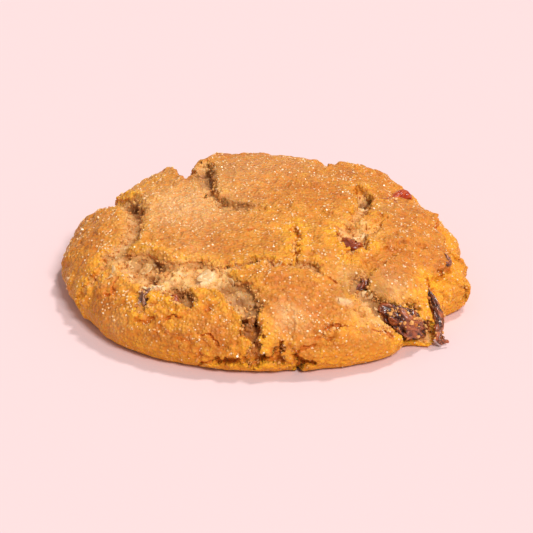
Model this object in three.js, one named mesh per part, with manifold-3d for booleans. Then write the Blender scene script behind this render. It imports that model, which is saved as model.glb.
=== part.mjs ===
// An oatmeal raisin cookie: a thick disc of dough whose crust has split into plates. Pale
// crumb shows in the splits, oat flakes are baked into it, and raisins sit in pockets.
//
// Millimetres, +Z up. The underside lies on z = 0 and the origin is the middle of it. The
// side with the deepest splits faces -Y.
//
// Places on the crust are given on a map of the skin, as [x, y]: the direction from the
// middle of the top is the true one, and the distance is measured along the surface, so
// that the rim is about 50 mm out all round and the foot about 56 mm.
import * as THREE from 'three';
import { ImprovedNoise } from 'three/addons/math/ImprovedNoise.js';
import { mergeVertices } from 'three/addons/utils/BufferGeometryUtils.js';
import Module from 'manifold-3d';

const wasm = await Module();
wasm.setup();

// ---- Driving dimensions --------------------------------------------------------------

const HALF_WIDTH = 45.0; // half of the cookie along X
const HALF_DEPTH = 46.0; // half of the cookie along Y
const THICKNESS = 16.0; // from the underside to the middle of the top
const RIM_HEIGHT = 4.2; // height of the widest place of the side
const FOOT_INSET = 3.6; // how far the foot stands in from the rim
const TOP_SQUARENESS = 4.0; // 2 is an ellipse, more is a flatter top with a tighter shoulder
const SHOULDER = 0.58; // exponent of the shoulder's fall

const POCKET_GAP = 0.3; // air between a raisin and the dough round it
const RAGGED = 0.55; // how far the edges of the splits wander
const RAGGED_WAVE = 2.6; // and over what length
const UNEVEN = 0.3; // height of the broad bumps of the crust
const UNEVEN_WAVE = 8;
const CRUMB_ROUGH = 0.45; // height of the lumps on the floor of a split
const CRUMB_WAVE = 1.9;
const CRUMB_DEPTH = 1.5; // depth from which a split shows crumb only

const FIRST_DETAIL = 9; // subdivision of the ball that the dough's mesh starts from
const EDGE_LIMIT = 4.0; // longest mesh edge on the crust
const UNDERSIDE_EDGE_LIMIT = 9; // and on the flat underside
const FINE_EDGE = 1.3; // edges shorter than this aren't cut
const RELIEF_ERROR = 0.3; // an edge that misses the relief by more than this is cut
const REFINE_PASSES = 6;

// Bulges and nicks of the outline: [direction in degrees, half width in degrees, outwards].
const LOBES = [
  [-19, 10, 0.9], [-12, 2.5, -1.2], [-1.5, 3.5, -1.5], [26, 22, -3.0], [230, 18, 1.3],
  [-58, 18, 1.9], [112, 4, -2.0], [146, 10, -2.2], [72, 6, -1.2], [-84, 2, -1.0],
  [215, 8, -0.4], [2, 2.5, -0.9], [-8, 4, -0.6], [-22, 4, 0.7], [-31, 5, -1.5],
  [-49.5, 3.5, -1.4], [170, 6, -0.5], [187, 6, 0.3], [222, 6, 0.3], [33, 5, -0.5],
];

// Broad swells and dips of the crust: [x, y, spread, height].
const SWELLS = [
  [3, -26, 14, 1.2], [30, -5, 12, 0.8],
  [-38.5, 15.5, 4.6, -1.0], [-44, 7, 4, -0.5], // back of the left plate
  [-30, 30, 8, -0.5], // back left plate
  [-12.5, 38, 5, 1.1], [5, 40, 9, -0.4], [21, 36, 3.5, 0.2], [27.5, 31, 3.5, 1.0], // back rim
  [42, 8, 3.5, 1.1], // outer band
  [39, -36.7, 3.0, 4.0], // ledge of the foot under the front right raisins
  [-36, -26, 6, 0.7], // front left plate
  [-20, -14, 7, 0.5], // front edge of the middle plate
  [2, -33, 7, 0.6], // front plate
  [28, -22, 8, 0.7], // right plate
  [-6, 14, 8, 0.5], // back plate
  [-3.2, -40.5, 1.3, 1.9], // lump that stands in the front split
  [14, -43, 1.8, 0.5], // lump beside the crack of the front plate
];

// Splits of the crust. Each point is [x, y, half width, depth]. Both walls are steep, unless
// wall gives the lengths over which the left and the right one rise.
const STEEP = 0.9;
const SPLITS = {
  leftValleyBack: { wall: [2.8, 2.4], path: [
    [-42, 27, 1.0, 1.4], [-38, 19, 1.2, 2.0], [-34.5, 14, 1.1, 2.4]] },
  leftValley: { wall: [2.4, 3.2], path: [
    [-34.5, 14, 1.0, 2.4], [-32.2, 11.4, 1.2, 3.9], [-30.3, 7.5, 1.0, 3.2],
    [-29.2, 2, 0.8, 2.8], [-28.9, -4.5, 0.8, 2.5], [-29.8, -8.7, 0.9, 2.3],
    [-31.2, -12.1, 1.0, 2.1], [-32.8, -14.2, 1.0, 1.9], [-34.8, -15.8, 0.9, 1.4]] },
  crumbCorner: { wall: [1.4, 1.4], path: [
    [-32.6, -16.2, 1.2, 1.6], [-30, -18, 1.8, 1.9], [-27, -20, 3.2, 2.3]] },
  leftNick: { path: [
    [-31, -17.5, 2, 1.8], [-34.5, -18.3, 1.0, 1.1], [-37.5, -20.8, 1.3, 1.2],
    [-40.5, -22.8, 1.2, 0.9], [-44.5, -23.8, 1.2, 0.4]] },
  crumbField: { wall: [STEEP, 1.6], path: [
    [-27, -20.5, 3.6, 2.4], [-24.3, -22.8, 4.3, 2.3]] },
  crumbFieldFront: { wall: [2.2, 1.4], path: [
    [-24, -24, 3.8, 2.2], [-19.5, -26, 4.0, 1.9], [-14.8, -26.6, 3.8, 1.6],
    [-10.8, -29.4, 2.4, 1.9]] },
  crumbPocket: { path: [
    [-19.5, -30.5, 2.0, 2.4], [-17, -33, 1.9, 2.6], [-15.8, -36, 1.0, 3.0]] },
  frontSplitTop: { wall: [0.8, 1.2], path: [
    [-9.6, -28.5, 1.4, 1.8], [-8.8, -31, 1.5, 1.9], [-6.8, -33.2, 2.1, 2.1],
    [-5, -35.6, 2.8, 2.2], [-3.7, -38, 2.3, 2.4]] },
  frontSplit: { path: [
    [-3.6, -38.6, 1.6, 2.6], [-3.2, -41.5, 1.8, 3.6], [-3, -43.8, 2.0, 3.8],
    [-2.3, -45.8, 0.9, 3.0], [-2.4, -47.6, 0.9, 2.6], [-2.8, -49.3, 1.6, 2.6],
    [-3, -50.6, 1.2, 1.9]] },
  hollowUnderTheLip: { path: [
    [-12.5, -50, 0.5, 0.6], [-9.8, -50, 0.9, 2.2], [-7.8, -50, 0.8, 1.8],
    [-5.8, -50.2, 0.5, 1.0], [-3.5, -49.8, 1.3, 2.6], [-1.2, -49.6, 1.1, 2.6],
    [0.5, -50.3, 0.5, 1.2], [2.4, -49.8, 0.9, 2.2], [3.5, -50.6, 0.7, 1.6]] },
  gapLeftOfTheDrip: { path: [
    [3, -46.5, 0.4, 0.7], [2.7, -48, 0.7, 1.6], [2.3, -49.6, 0.9, 2.2]] },
  gapRightOfTheDrip: { path: [
    [6.6, -49.4, 0.5, 1.2], [8.5, -50, 1.0, 2.2], [10.4, -49.9, 0.5, 1.2]] },
  nickOfTheFoot: { path: [
    [7.6, -50.5, 0.8, 1.8], [8, -55, 0.8, 1.8]] },
  middleCracks: { path: [
    [-9.5, -27, 1.2, 1.4], [-7, -26.4, 0.7, 0.9], [-5, -25.2, 0.7, 1.3],
    [-2.5, -24.3, 0.9, 1.7], [-0.6, -24.6, 0.5, 0.7], [0.9, -25.2, 0.8, 1.5],
    [2, -27, 0.5, 0.7], [4.5, -26.4, 0.8, 0.8], [7, -25.3, 1.3, 1.3],
    [9.5, -25.3, 1.3, 1.8], [10.4, -28.3, 0.5, 0.8]] },
  narrowCrack: { wall: [0.6, 0.7], path: [
    [5.6, -8, 0.4, 0.7], [6.2, -11, 0.5, 1.3], [6.5, -13.5, 0.3, 0.7],
    [6.0, -17.5, 0.5, 1.5], [6.2, -20.5, 0.5, 1.4], [5.7, -22.6, 0.3, 0.7],
    [5.3, -25, 0.6, 1.2]] },
  rightValley: { wall: [STEEP, 2.2], path: [
    [22.4, 14, 0.7, 0.8], [23.4, 11, 0.8, 1.8], [23.6, 8, 1.3, 3.6], [23.0, 5, 1.1, 2.0],
    [22.2, 1, 1.2, 1.8], [21, -2.5, 1.0, 2.6], [19.7, -5.5, 0.5, 1.4]] },
  rightCrumbPatch: { wall: [1.8, 1.0], path: [
    [16.6, -8.4, 0.9, 1.2], [18.2, -9.5, 1.9, 1.5], [19.4, -12, 2.5, 2.0]] },
  hollowOfTheRightRaisin: { path: [
    [16.3, -11.0, 1.3, 1.6], [17.6, -14.6, 2.0, 2.0], [20.6, -15.6, 1.7, 1.9]] },
  rightPatchTail: { path: [
    [18.3, -17.2, 0.9, 1.4], [17, -20.3, 0.4, 0.7], [17.4, -23.5, 0.3, 0.4]] },
  rightCrossCrack: { path: [
    [26.3, -1.5, 0.4, 0.7], [25.2, -4.8, 0.5, 1.1], [23.8, -6.5, 0.8, 1.0],
    [22.3, -9, 1.2, 1.4]] },
  hollowOfTheLeftRaisin: { path: [
    [-24.6, -28.8, 1.1, 1.0], [-25.3, -31.2, 1.3, 1.4], [-26.2, -34.2, 0.9, 1.1]] },
  rightGroove: { wall: [1.4, 1.8], path: [
    [32, -12, 1.0, 0.4], [27.5, -17.5, 1.1, 0.6], [24.5, -19.9, 1.1, 0.9],
    [21.5, -23.5, 1.1, 0.8], [20.2, -26.3, 0.8, 1.0]] },
  raisinValley: { wall: [STEEP, 2.2], path: [
    [20.2, -26.3, 0.8, 1.2], [19.3, -28.5, 1.1, 1.9], [18.8, -31, 1.3, 1.9],
    [20.8, -33, 1.4, 1.9], [22.8, -33.9, 1.5, 2.5], [25, -34.6, 2.0, 3.0],
    [28.6, -35.8, 2.3, 3.2], [33, -36.4, 2.5, 3.0], [36.8, -35.0, 2.0, 2.6]] },
  holeLeftOfTheRaisin: { path: [
    [22.9, -32.6, 0.8, 2.4], [25.2, -34.0, 1.1, 3.2]] },
  holeOverTheRaisin: { path: [
    [30.4, -31.2, 0.7, 2.2], [32.2, -31.7, 0.7, 2.4]] },
  rimCleft: { path: [
    [35.6, -23.5, 0.6, 0.9], [36.3, -27, 1.3, 2.2], [37.8, -29.6, 1.6, 2.4],
    [39.8, -31.6, 1.6, 1.6], [42, -33.5, 1.2, 0.8]] },
  creaseOfTheBand: { wall: [0.6, 0.6], path: [
    [40.4, 5, 0.3, 0.3], [41.2, 0, 0.4, 0.7], [41.5, -6, 0.4, 0.8], [40.4, -12, 0.4, 0.8],
    [39.9, -16, 0.4, 0.7], [38.4, -20, 0.3, 0.4]] },
  notchOfTheBand: { wall: [0.8, 0.8], path: [
    [43.0, -6.6, 0.4, 0.4], [46.6, -6.6, 0.6, 1.0], [50.5, -6.6, 0.5, 0.8]] },
  frontNotchOfTheBand: { wall: [0.8, 0.8], path: [
    [42.6, -17.6, 0.4, 0.4], [45.6, -18.2, 0.7, 1.3], [49.2, -19.2, 0.6, 1.0]] },
  backRightDip: { wall: [4.2, 1.7], path: [
    [14.8, 29, 0.6, 0.9], [16.4, 35, 1.1, 3.0], [18.0, 41, 1.3, 3.8],
    [19.5, 47, 1.3, 2.8]] },
  backLeftNotch: { wall: [1.0, 2.6], path: [
    [-18.2, 19.5, 0.6, 0.5], [-18.5, 24, 1.3, 2.4], [-19.5, 30, 1.8, 4.0],
    [-21, 37, 2.2, 5.2], [-22.5, 43, 2.2, 5.0], [-24, 50, 2.0, 2.6]] },
  backValley: { wall: [STEEP, 3.2], path: [
    [-15, 32.5, 0.6, 1.0], [-14, 28, 1.0, 3.3], [-13.2, 22, 0.9, 2.6],
    [-12.7, 14, 0.9, 2.0], [-11.8, 9, 1.0, 2.1], [-10.2, 4.6, 0.9, 1.9],
    [-8.6, 2.9, 0.8, 1.2], [-5, 2.2, 0.7, 0.8], [-1.3, 1.6, 0.5, 0.5]] },
};

// Pits, deeper than the floor round them: [x, y, radius, depth].
const PITS = [
  [-23.8, -24.2, 0.9, 2.2], [-17.6, -29.9, 1.3, 2.4], [-31.2, -19, 0.9, 1.0],
  [-22.6, -19.8, 1.5, 1.7], [-2.3, -23.7, 0.9, 1.2], [21.6, 14.4, 0.9, 0.9],
];

// The plate on the right ends in a step down to a smooth outer band.
const STEP_DROP = 1.4;
const STEP_RUN = 1.2; // width of the step
const STEP_FADE = 5; // length over which it dies away at each end
const STEP_LINE = [
  [37, 16], [40, 8], [41.2, 0], [41.5, -8], [40, -15], [37.4, -21], [36.6, -25], [39.5, -28.5],
];

// Oat flakes that lie bare in the crumb: [x, y, half length, half width, turn in degrees].
const BARE_FLAKES = [
  [-23.2, -28.9, 2.6, 1.5, -24], [-12.6, -27.4, 2.8, 2.0, 60], [15.6, -35, 2.0, 1.2, -8],
];
const BARE_FLAKE_RISE = 0.6;
const HIDDEN_FLAKES = 70; // flakes under the crust, which show as low bumps
const HIDDEN_FLAKE_RISE = 0.4;
const [SHORT_FLAKE, LONG_FLAKE] = [1.6, 2.6]; // their least and greatest half length
const FLAKE_SLIMNESS = 0.7; // width as a share of length
const FLAKE_SEED = 11;

// Raisins: path of the middle line as [x, y, height over the skin], with the width across
// it, the thickness, the number of folds and the subdivision of the ball it starts from.
const RAISINS = [
  { name: 'raisin_front_right', width: 6.6, thickness: 4.6, folds: 5, detail: 4,
    path: [[23.4, -32.6, -1.8], [28.4, -35.0, -0.9], [33.6, -35.7, -0.5], [39.6, -33.8, -0.8]] },
  { name: 'raisin_rim_strip', width: 3.0, thickness: 1.8, folds: 2, detail: 3,
    path: [[34.8, -22.4, -1.8], [36.2, -26.0, -0.3], [37.7, -29.0, 0.3], [38.2, -31.6, 1.3],
      [38.5, -33.7, 2.2], [39.0, -35.2, 3.6], [40.6, -34.6, 5.5]] },
  { name: 'raisin_right_valley', width: 3.6, thickness: 2.6, folds: 3, detail: 2,
    path: [[17.0, -10.8, -1.3], [18.6, -14.6, -1.0], [21.4, -13.6, -1.3]] },
  { name: 'raisin_back_right', width: 3.2, thickness: 2.8, folds: 2, detail: 2,
    path: [[28.8, 9.0, -1.9], [31.2, 12.4, -1.2], [34.0, 15.6, 0.5], [35.8, 16.2, -0.4]] },
  { name: 'raisin_right_rim_curl', width: 1.4, thickness: 1.4, folds: 3, detail: 2,
    path: [[37.0, -12.0, -0.3], [38.7, -13.2, 0.1], [39.0, -15.2, 0.1], [36.3, -15.6, 0]] },
  { name: 'raisin_front_left', width: 3.4, thickness: 2.8, folds: 4, detail: 2,
    path: [[-24.2, -28.4, -1.4], [-25.0, -30.6, -0.8], [-26.4, -33.4, -1.3]] },
  { name: 'raisin_crumb_pocket', width: 1.9, thickness: 1.6, folds: 3, detail: 2,
    path: [[-20.2, -31.5, -1.6], [-19.2, -32.6, -1.1], [-18.3, -34.0, -1.5]] },
  { name: 'raisin_centre_right', width: 2.0, thickness: 1.8, folds: 4, detail: 2,
    path: [[20.6, -25.2, -1.5], [20.1, -27.2, -0.9], [19.3, -28.8, -0.9], [18.2, -29.8, -1.2]] },
];
const FOLD_DEPTH = 0.13; // depth of a raisin's folds, as a share of its radius
const FOLD_WANDER = 1.5; // how far a fold winds round the raisin, in radians

const DOUGH_FINISH = { color: 0xd08a48, roughness: 0.75, metalness: 0 };
const RAISIN_FINISH = { color: 0x4a1f1a, roughness: 0.4, metalness: 0 };

// ---- Small tools ---------------------------------------------------------------------

const { clamp, lerp, smoothstep, degToRad, radToDeg, seededRandom } = THREE.MathUtils;
const perlin = new ImprovedNoise();

const bump = (distance, spread) => Math.exp(-((distance / spread) ** 2));

const noise = (x, y, wave, layer) => perlin.noise(x / wave, y / wave, layer);

// Distance from p to the piece of line a-b, the share of it that lies before the nearest
// point, and the side of the line that p is on (positive is on its left).
function towardsLine(px, py, a, b) {
  const dx = b[0] - a[0];
  const dy = b[1] - a[1];
  const share = clamp(((px - a[0]) * dx + (py - a[1]) * dy) / (dx * dx + dy * dy), 0, 1);
  const offX = px - a[0] - share * dx;
  const offY = py - a[1] - share * dy;
  return { distance: Math.hypot(offX, offY), share, side: dx * offY - dy * offX };
}

// ---- Base form -----------------------------------------------------------------------

const MEAN_RADIUS = (HALF_WIDTH + HALF_DEPTH) / 2;
const PROFILE_STEPS = 240;

// Half profile from the middle of the top over the rim to the middle of the underside:
// reach is a share of the outline's radius, run is the distance along the surface.
function makeProfile() {
  const stations = [];
  const push = (reach, z, zone) => stations.push({ reach, z, zone, run: 0 });
  const footReach = 1 - FOOT_INSET / MEAN_RADIUS;
  for (let i = 0; i <= PROFILE_STEPS; i++) {
    const angle = (i / PROFILE_STEPS) * (Math.PI / 2);
    push(Math.sin(angle) ** (2 / TOP_SQUARENESS),
      RIM_HEIGHT + (THICKNESS - RIM_HEIGHT) * Math.cos(angle) ** (2 * SHOULDER), 'top');
  }
  for (let i = 1; i <= PROFILE_STEPS / 4; i++) {
    const angle = (i / (PROFILE_STEPS / 4)) * (Math.PI / 2);
    push(lerp(footReach, 1, Math.cos(angle)), RIM_HEIGHT * (1 - Math.sin(angle)), 'side');
  }
  for (let i = 1; i <= PROFILE_STEPS / 4; i++) {
    push(footReach * (1 - i / (PROFILE_STEPS / 4)), 0, 'underside');
  }
  for (let i = 1; i < stations.length; i++) {
    const [a, b] = [stations[i - 1], stations[i]];
    b.run = a.run + Math.hypot((b.reach - a.reach) * MEAN_RADIUS, b.z - a.z);
  }
  return stations;
}
const profile = makeProfile();
const RIM_RUN = profile.findLast((station) => station.zone === 'top').run;
const FOOT_RUN = profile.findLast((station) => station.zone === 'side').run;

function outlineRadius(angle) {
  let radius = 1 / Math.hypot(Math.cos(angle) / HALF_WIDTH, Math.sin(angle) / HALF_DEPTH);
  for (const [direction, halfWidth, outwards] of LOBES) {
    const off = THREE.MathUtils.euclideanModulo(radToDeg(angle) - direction + 180, 360) - 180;
    radius += outwards * bump(off, halfWidth);
  }
  return radius;
}

// Reach, height and outward direction of the profile at a distance along the surface. From
// the rim down, the direction stays level, so that relief never reaches under z = 0.
function profileAt(run) {
  let low = 0;
  let high = profile.length - 1;
  while (high - low > 1) {
    const middle = (low + high) >> 1;
    if (profile[middle].run <= run) low = middle;
    else high = middle;
  }
  const [a, b] = [profile[low], profile[high]];
  const share = clamp((run - a.run) / (b.run - a.run), 0, 1);
  const outR = a.z - b.z;
  const outZ = (b.reach - a.reach) * MEAN_RADIUS;
  const length = Math.hypot(outR, outZ);
  const level = run > RIM_RUN;
  return {
    reach: lerp(a.reach, b.reach, share),
    z: lerp(a.z, b.z, share),
    outR: level ? 1 : outR / length,
    outZ: level ? 0 : outZ / length,
  };
}

// The point of the object that lies over a place of the skin map.
function skinPoint(x, y, height) {
  const angle = Math.atan2(y, x);
  const at = profileAt(Math.hypot(x, y));
  const radius = at.reach * outlineRadius(angle) + height * at.outR;
  const z = at.z + height * at.outZ;
  return new THREE.Vector3(radius * Math.cos(angle), radius * Math.sin(angle), z);
}

// ---- Relief of the crust -------------------------------------------------------------

// How deep one split is at a place, and 0 outside it.
function splitDepth({ path, wall = [STEEP, STEEP] }, x, y) {
  let deepest = 0;
  for (let i = 1; i < path.length; i++) {
    const [a, b] = [path[i - 1], path[i]];
    const { distance, share, side } = towardsLine(x, y, a, b);
    const halfWidth = lerp(a[2], b[2], share);
    const run = side > 0 ? wall[0] : wall[1];
    const inner = halfWidth - STEEP / 2;
    const cut = lerp(a[3], b[3], share) * (1 - smoothstep(distance, inner, inner + run));
    deepest = Math.max(deepest, cut);
  }
  return deepest;
}

// Share of the step's drop at a place: 0 on the plate, 1 on the outer band.
function beyondStep(x, y) {
  let nearest = { distance: Infinity };
  STEP_LINE.slice(1).forEach((b, i) => {
    const found = towardsLine(x, y, STEP_LINE[i], b);
    if (found.distance < nearest.distance) nearest = found;
  });
  const outside = nearest.side > 0 ? nearest.distance : -nearest.distance;
  const ends = [STEP_LINE[0], STEP_LINE.at(-1)];
  const toEnd = Math.min(...ends.map(([ex, ey]) => Math.hypot(x - ex, y - ey)));
  const toRim = RIM_RUN - Math.hypot(x, y);
  return smoothstep(outside, -STEP_RUN / 2, STEP_RUN / 2) * smoothstep(toEnd, 0, STEP_FADE)
    * smoothstep(toRim, 0, STEP_FADE);
}

// Low bump of an oat flake: flat on top, with a rounded edge.
function flakeBump([fx, fy, halfLength, halfWidth, turn], x, y) {
  const cos = Math.cos(degToRad(turn));
  const sin = Math.sin(degToRad(turn));
  const along = ((x - fx) * cos + (y - fy) * sin) / halfLength;
  const across = ((y - fy) * cos - (x - fx) * sin) / halfWidth;
  return 1 - smoothstep(Math.hypot(along, across), 0.55, 1.15);
}

// Seeded places, sizes and turns of the flakes under the crust.
function makeHiddenFlakes() {
  seededRandom(FLAKE_SEED);
  return Array.from({ length: HIDDEN_FLAKES }, () => {
    const run = RIM_RUN * Math.sqrt(seededRandom());
    const angle = 2 * Math.PI * seededRandom();
    const halfLength = lerp(SHORT_FLAKE, LONG_FLAKE, seededRandom());
    const turn = 180 * seededRandom();
    const halfWidth = FLAKE_SLIMNESS * halfLength;
    return [run * Math.cos(angle), run * Math.sin(angle), halfLength, halfWidth, turn];
  });
}
const hiddenFlakes = makeHiddenFlakes();

// Height of the relief over the base form at a place of the crust.
function crustRelief(x, y) {
  const ragX = x + RAGGED * noise(x, y, RAGGED_WAVE, 3.1);
  const ragY = y + RAGGED * noise(x, y, RAGGED_WAVE, 7.7);
  const split = Math.max(...Object.values(SPLITS).map((each) => splitDepth(each, ragX, ragY)));
  const inSplit = clamp(split / CRUMB_DEPTH, 0, 1);

  let height = UNEVEN * noise(x, y, UNEVEN_WAVE, 0.5);
  for (const [sx, sy, spread, rise] of SWELLS) {
    height += rise * bump(Math.hypot(x - sx, y - sy), spread);
  }
  for (const [px, py, radius, depth] of PITS) {
    height -= depth * bump(Math.hypot(ragX - px, ragY - py), radius);
  }
  for (const flake of hiddenFlakes) {
    height += HIDDEN_FLAKE_RISE * (1 - inSplit) * flakeBump(flake, x, y);
  }
  for (const flake of BARE_FLAKES) height += BARE_FLAKE_RISE * flakeBump(flake, x, y);
  height -= STEP_DROP * beyondStep(ragX, ragY);
  height -= split - CRUMB_ROUGH * inSplit * noise(x, y, CRUMB_WAVE, 5.2);
  return height;
}

// The relief runs on round the foot, where it dies away under the cookie.
const RELIEF_END = 2; // how far before the foot's edge the relief stops changing
const RELIEF_FADE = 10; // length over which it then dies away

function relief(x, y) {
  const run = Math.hypot(x, y);
  const last = FOOT_RUN - RELIEF_END;
  if (run <= last) return crustRelief(x, y);
  const fade = 1 - smoothstep(run, last, last + RELIEF_FADE);
  return fade === 0 ? 0 : fade * crustRelief((x * last) / run, (y * last) / run);
}

// ---- Dough ---------------------------------------------------------------------------

// Share of the ball's surface that is given to the skin up to each station of the profile.
// The flat underside gets little of it.
const UNDERSIDE_SHARE = 0.12;

function makeBallShares() {
  const shares = [0];
  for (let i = 1; i < profile.length; i++) {
    const [a, b] = [profile[i - 1], profile[i]];
    const weight = b.zone === 'underside' ? UNDERSIDE_SHARE : 1;
    shares.push(shares[i - 1] + ((a.reach + b.reach) / 2) * (b.run - a.run) * weight);
  }
  return shares.map((share) => share / shares.at(-1));
}
const ballShares = makeBallShares();

// Place on the skin map of a direction from the middle of the ball.
function skinPlace(direction) {
  const share = clamp((1 - direction.z) / 2, 0, 1);
  let high = ballShares.findIndex((each) => each >= share);
  high = high < 1 ? 1 : high;
  const part = (share - ballShares[high - 1]) / (ballShares[high] - ballShares[high - 1]);
  const run = lerp(profile[high - 1].run, profile[high].run, part);
  const angle = Math.atan2(direction.y, direction.x);
  return { x: run * Math.cos(angle), y: run * Math.sin(angle), run };
}

// Cuts every edge that longEdge names in two, and splits the triangles on them to match.
function refine(directions, triangles, longEdge) {
  const middles = new Map();
  const middleOf = (a, b) => {
    const key = a < b ? `${a},${b}` : `${b},${a}`;
    if (!middles.has(key)) {
      middles.set(key, longEdge(a, b) ? directions.length : null);
      if (middles.get(key) !== null) {
        directions.push(directions[a].clone().add(directions[b]).normalize());
      }
    }
    return middles.get(key);
  };
  const next = [];
  for (const [a, b, c] of triangles) {
    const cuts = [middleOf(a, b), middleOf(b, c), middleOf(c, a)];
    const count = cuts.filter((cut) => cut !== null).length;
    if (count === 0) next.push([a, b, c]);
    if (count === 3) {
      const [ab, bc, ca] = cuts;
      next.push([a, ab, ca], [b, bc, ab], [c, ca, bc], [ab, bc, ca]);
    }
    if (count === 1 || count === 2) {
      // Turn the triangle so that its first edge is cut and its last one isn't.
      const corners = [a, b, c];
      const turn = [0, 1, 2].find((i) => cuts[i] !== null && cuts[(i + 2) % 3] === null);
      const [p, q, r] = [0, 1, 2].map((i) => corners[(i + turn) % 3]);
      const [pq, qr] = [cuts[turn], cuts[(turn + 1) % 3]];
      if (qr === null) next.push([p, pq, r], [pq, q, r]);
      else next.push([p, pq, r], [pq, qr, r], [pq, q, qr]);
    }
  }
  return next;
}

function ball(detail) {
  const geometry = new THREE.IcosahedronGeometry(1, detail);
  geometry.deleteAttribute('normal');
  geometry.deleteAttribute('uv');
  return mergeVertices(geometry);
}

function makeDough() {
  const start = ball(FIRST_DETAIL);
  const positions = start.getAttribute('position');
  const directions = Array.from({ length: positions.count }, (_, i) =>
    new THREE.Vector3().fromBufferAttribute(positions, i));
  let triangles = [];
  for (let i = 0; i < start.index.count; i += 3) {
    triangles.push([0, 1, 2].map((k) => start.index.getX(i + k)));
  }

  const points = [];
  const places = [];
  const heights = [];
  const placeNew = () => {
    for (let i = points.length; i < directions.length; i++) {
      const place = skinPlace(directions[i]);
      const height = relief(place.x, place.y);
      places.push(place);
      heights.push(height);
      points.push(skinPoint(place.x, place.y, height));
    }
  };
  const missesRelief = (a, b) => [0.25, 0.5, 0.75].some((share) => {
    const x = lerp(places[a].x, places[b].x, share);
    const y = lerp(places[a].y, places[b].y, share);
    return Math.abs(relief(x, y) - lerp(heights[a], heights[b], share)) > RELIEF_ERROR;
  });
  const longEdge = (a, b) => {
    const under = Math.min(places[a].run, places[b].run) > FOOT_RUN;
    const length = points[a].distanceTo(points[b]);
    if (length > (under ? UNDERSIDE_EDGE_LIMIT : EDGE_LIMIT)) return true;
    const apart = Math.hypot(places[a].x - places[b].x, places[a].y - places[b].y);
    return !under && apart > FINE_EDGE && missesRelief(a, b);
  };
  placeNew();
  for (let pass = 0; pass < REFINE_PASSES; pass++) {
    triangles = refine(directions, triangles, longEdge);
    placeNew();
  }
  return new wasm.Manifold(new wasm.Mesh({
    numProp: 3,
    vertProperties: new Float32Array(points.flatMap((point) => point.toArray())),
    triVerts: new Uint32Array(triangles.flat()),
  }));
}

// ---- Raisins -------------------------------------------------------------------------

// A ball stretched along the raisin's middle line. grow widens it all round, and folded
// gives it its wrinkles.
function raisinSolid({ path, width, thickness, folds, detail }, grow, folded) {
  const middle = new THREE.CatmullRomCurve3(path.map(([x, y, lift]) => skinPoint(x, y, lift)));
  const upper = new THREE.CatmullRomCurve3(path.map(([x, y, lift]) => skinPoint(x, y, lift + 1)));
  const shape = ball(detail);
  const positions = shape.getAttribute('position');
  for (let i = 0; i < positions.count; i++) {
    const unit = new THREE.Vector3().fromBufferAttribute(positions, i);
    const share = (unit.x + 1) / 2;
    const centre = middle.getPoint(share);
    const along = middle.getTangent(share);
    const out = upper.getPoint(share).sub(centre);
    const across = new THREE.Vector3().crossVectors(out, along).normalize();
    const normal = new THREE.Vector3().crossVectors(along, across);

    const turn = Math.atan2(unit.z, unit.y) + FOLD_WANDER * unit.x;
    const fold = folded ? 1 + FOLD_DEPTH * (Math.sin(folds * turn) - 1) : 1;
    const point = centre
      .addScaledVector(along, unit.x * grow)
      .addScaledVector(across, unit.y * (width / 2 + grow) * fold)
      .addScaledVector(normal, unit.z * (thickness / 2 + grow) * fold);
    positions.setXYZ(i, ...point.toArray());
  }
  return new wasm.Manifold(new wasm.Mesh({
    numProp: 3,
    vertProperties: positions.array,
    triVerts: new Uint32Array(shape.index.array),
  }));
}

// ---- The object ----------------------------------------------------------------------

function meshFrom(solid, name, finish) {
  const { vertProperties, triVerts } = solid.getMesh();
  const geometry = new THREE.BufferGeometry();
  geometry.setAttribute('position', new THREE.BufferAttribute(vertProperties, 3));
  geometry.setIndex(new THREE.BufferAttribute(triVerts, 1));
  geometry.computeVertexNormals();
  const mesh = new THREE.Mesh(geometry, new THREE.MeshStandardMaterial(finish));
  mesh.name = name;
  return mesh;
}

let dough = makeDough();
for (const raisin of RAISINS) dough = dough.subtract(raisinSolid(raisin, POCKET_GAP, false));

const cookie = new THREE.Group();
cookie.name = 'oatmeal_raisin_cookie';
cookie.add(meshFrom(dough, 'dough', DOUGH_FINISH));
for (const raisin of RAISINS) {
  cookie.add(meshFrom(raisinSolid(raisin, 0, true), raisin.name, RAISIN_FINISH));
}

export default cookie;
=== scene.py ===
"""Oatmeal raisin cookie: a thick disc of dough whose baked crust has split into plates.

Sizes are millimetres until a mesh is placed, and +Z is up. The underside lies on z = 0.

Places on the crust are given on a map of the skin, as (x, y): the direction from the middle
of the top is the true one, and the distance is measured along the surface, so that the rim
is about 50 mm out all round and the foot about 56 mm.
"""

import itertools
import logging
import math
from dataclasses import dataclass, fields
from enum import Enum

import bpy
import numpy as np
from numpy.typing import NDArray
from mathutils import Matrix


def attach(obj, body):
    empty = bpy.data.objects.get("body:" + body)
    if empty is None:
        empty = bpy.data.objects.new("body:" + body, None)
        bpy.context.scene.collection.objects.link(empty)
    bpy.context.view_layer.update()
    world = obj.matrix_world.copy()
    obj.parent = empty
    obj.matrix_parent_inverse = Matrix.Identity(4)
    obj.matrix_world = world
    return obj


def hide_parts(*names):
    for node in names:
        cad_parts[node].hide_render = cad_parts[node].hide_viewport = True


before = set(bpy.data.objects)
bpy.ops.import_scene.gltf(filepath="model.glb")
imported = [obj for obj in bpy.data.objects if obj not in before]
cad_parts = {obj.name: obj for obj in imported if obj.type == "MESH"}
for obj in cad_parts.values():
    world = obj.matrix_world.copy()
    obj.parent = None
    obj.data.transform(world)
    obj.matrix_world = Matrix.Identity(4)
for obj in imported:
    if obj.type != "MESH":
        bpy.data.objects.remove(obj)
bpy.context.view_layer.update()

log = logging.getLogger("cookie")

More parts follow.
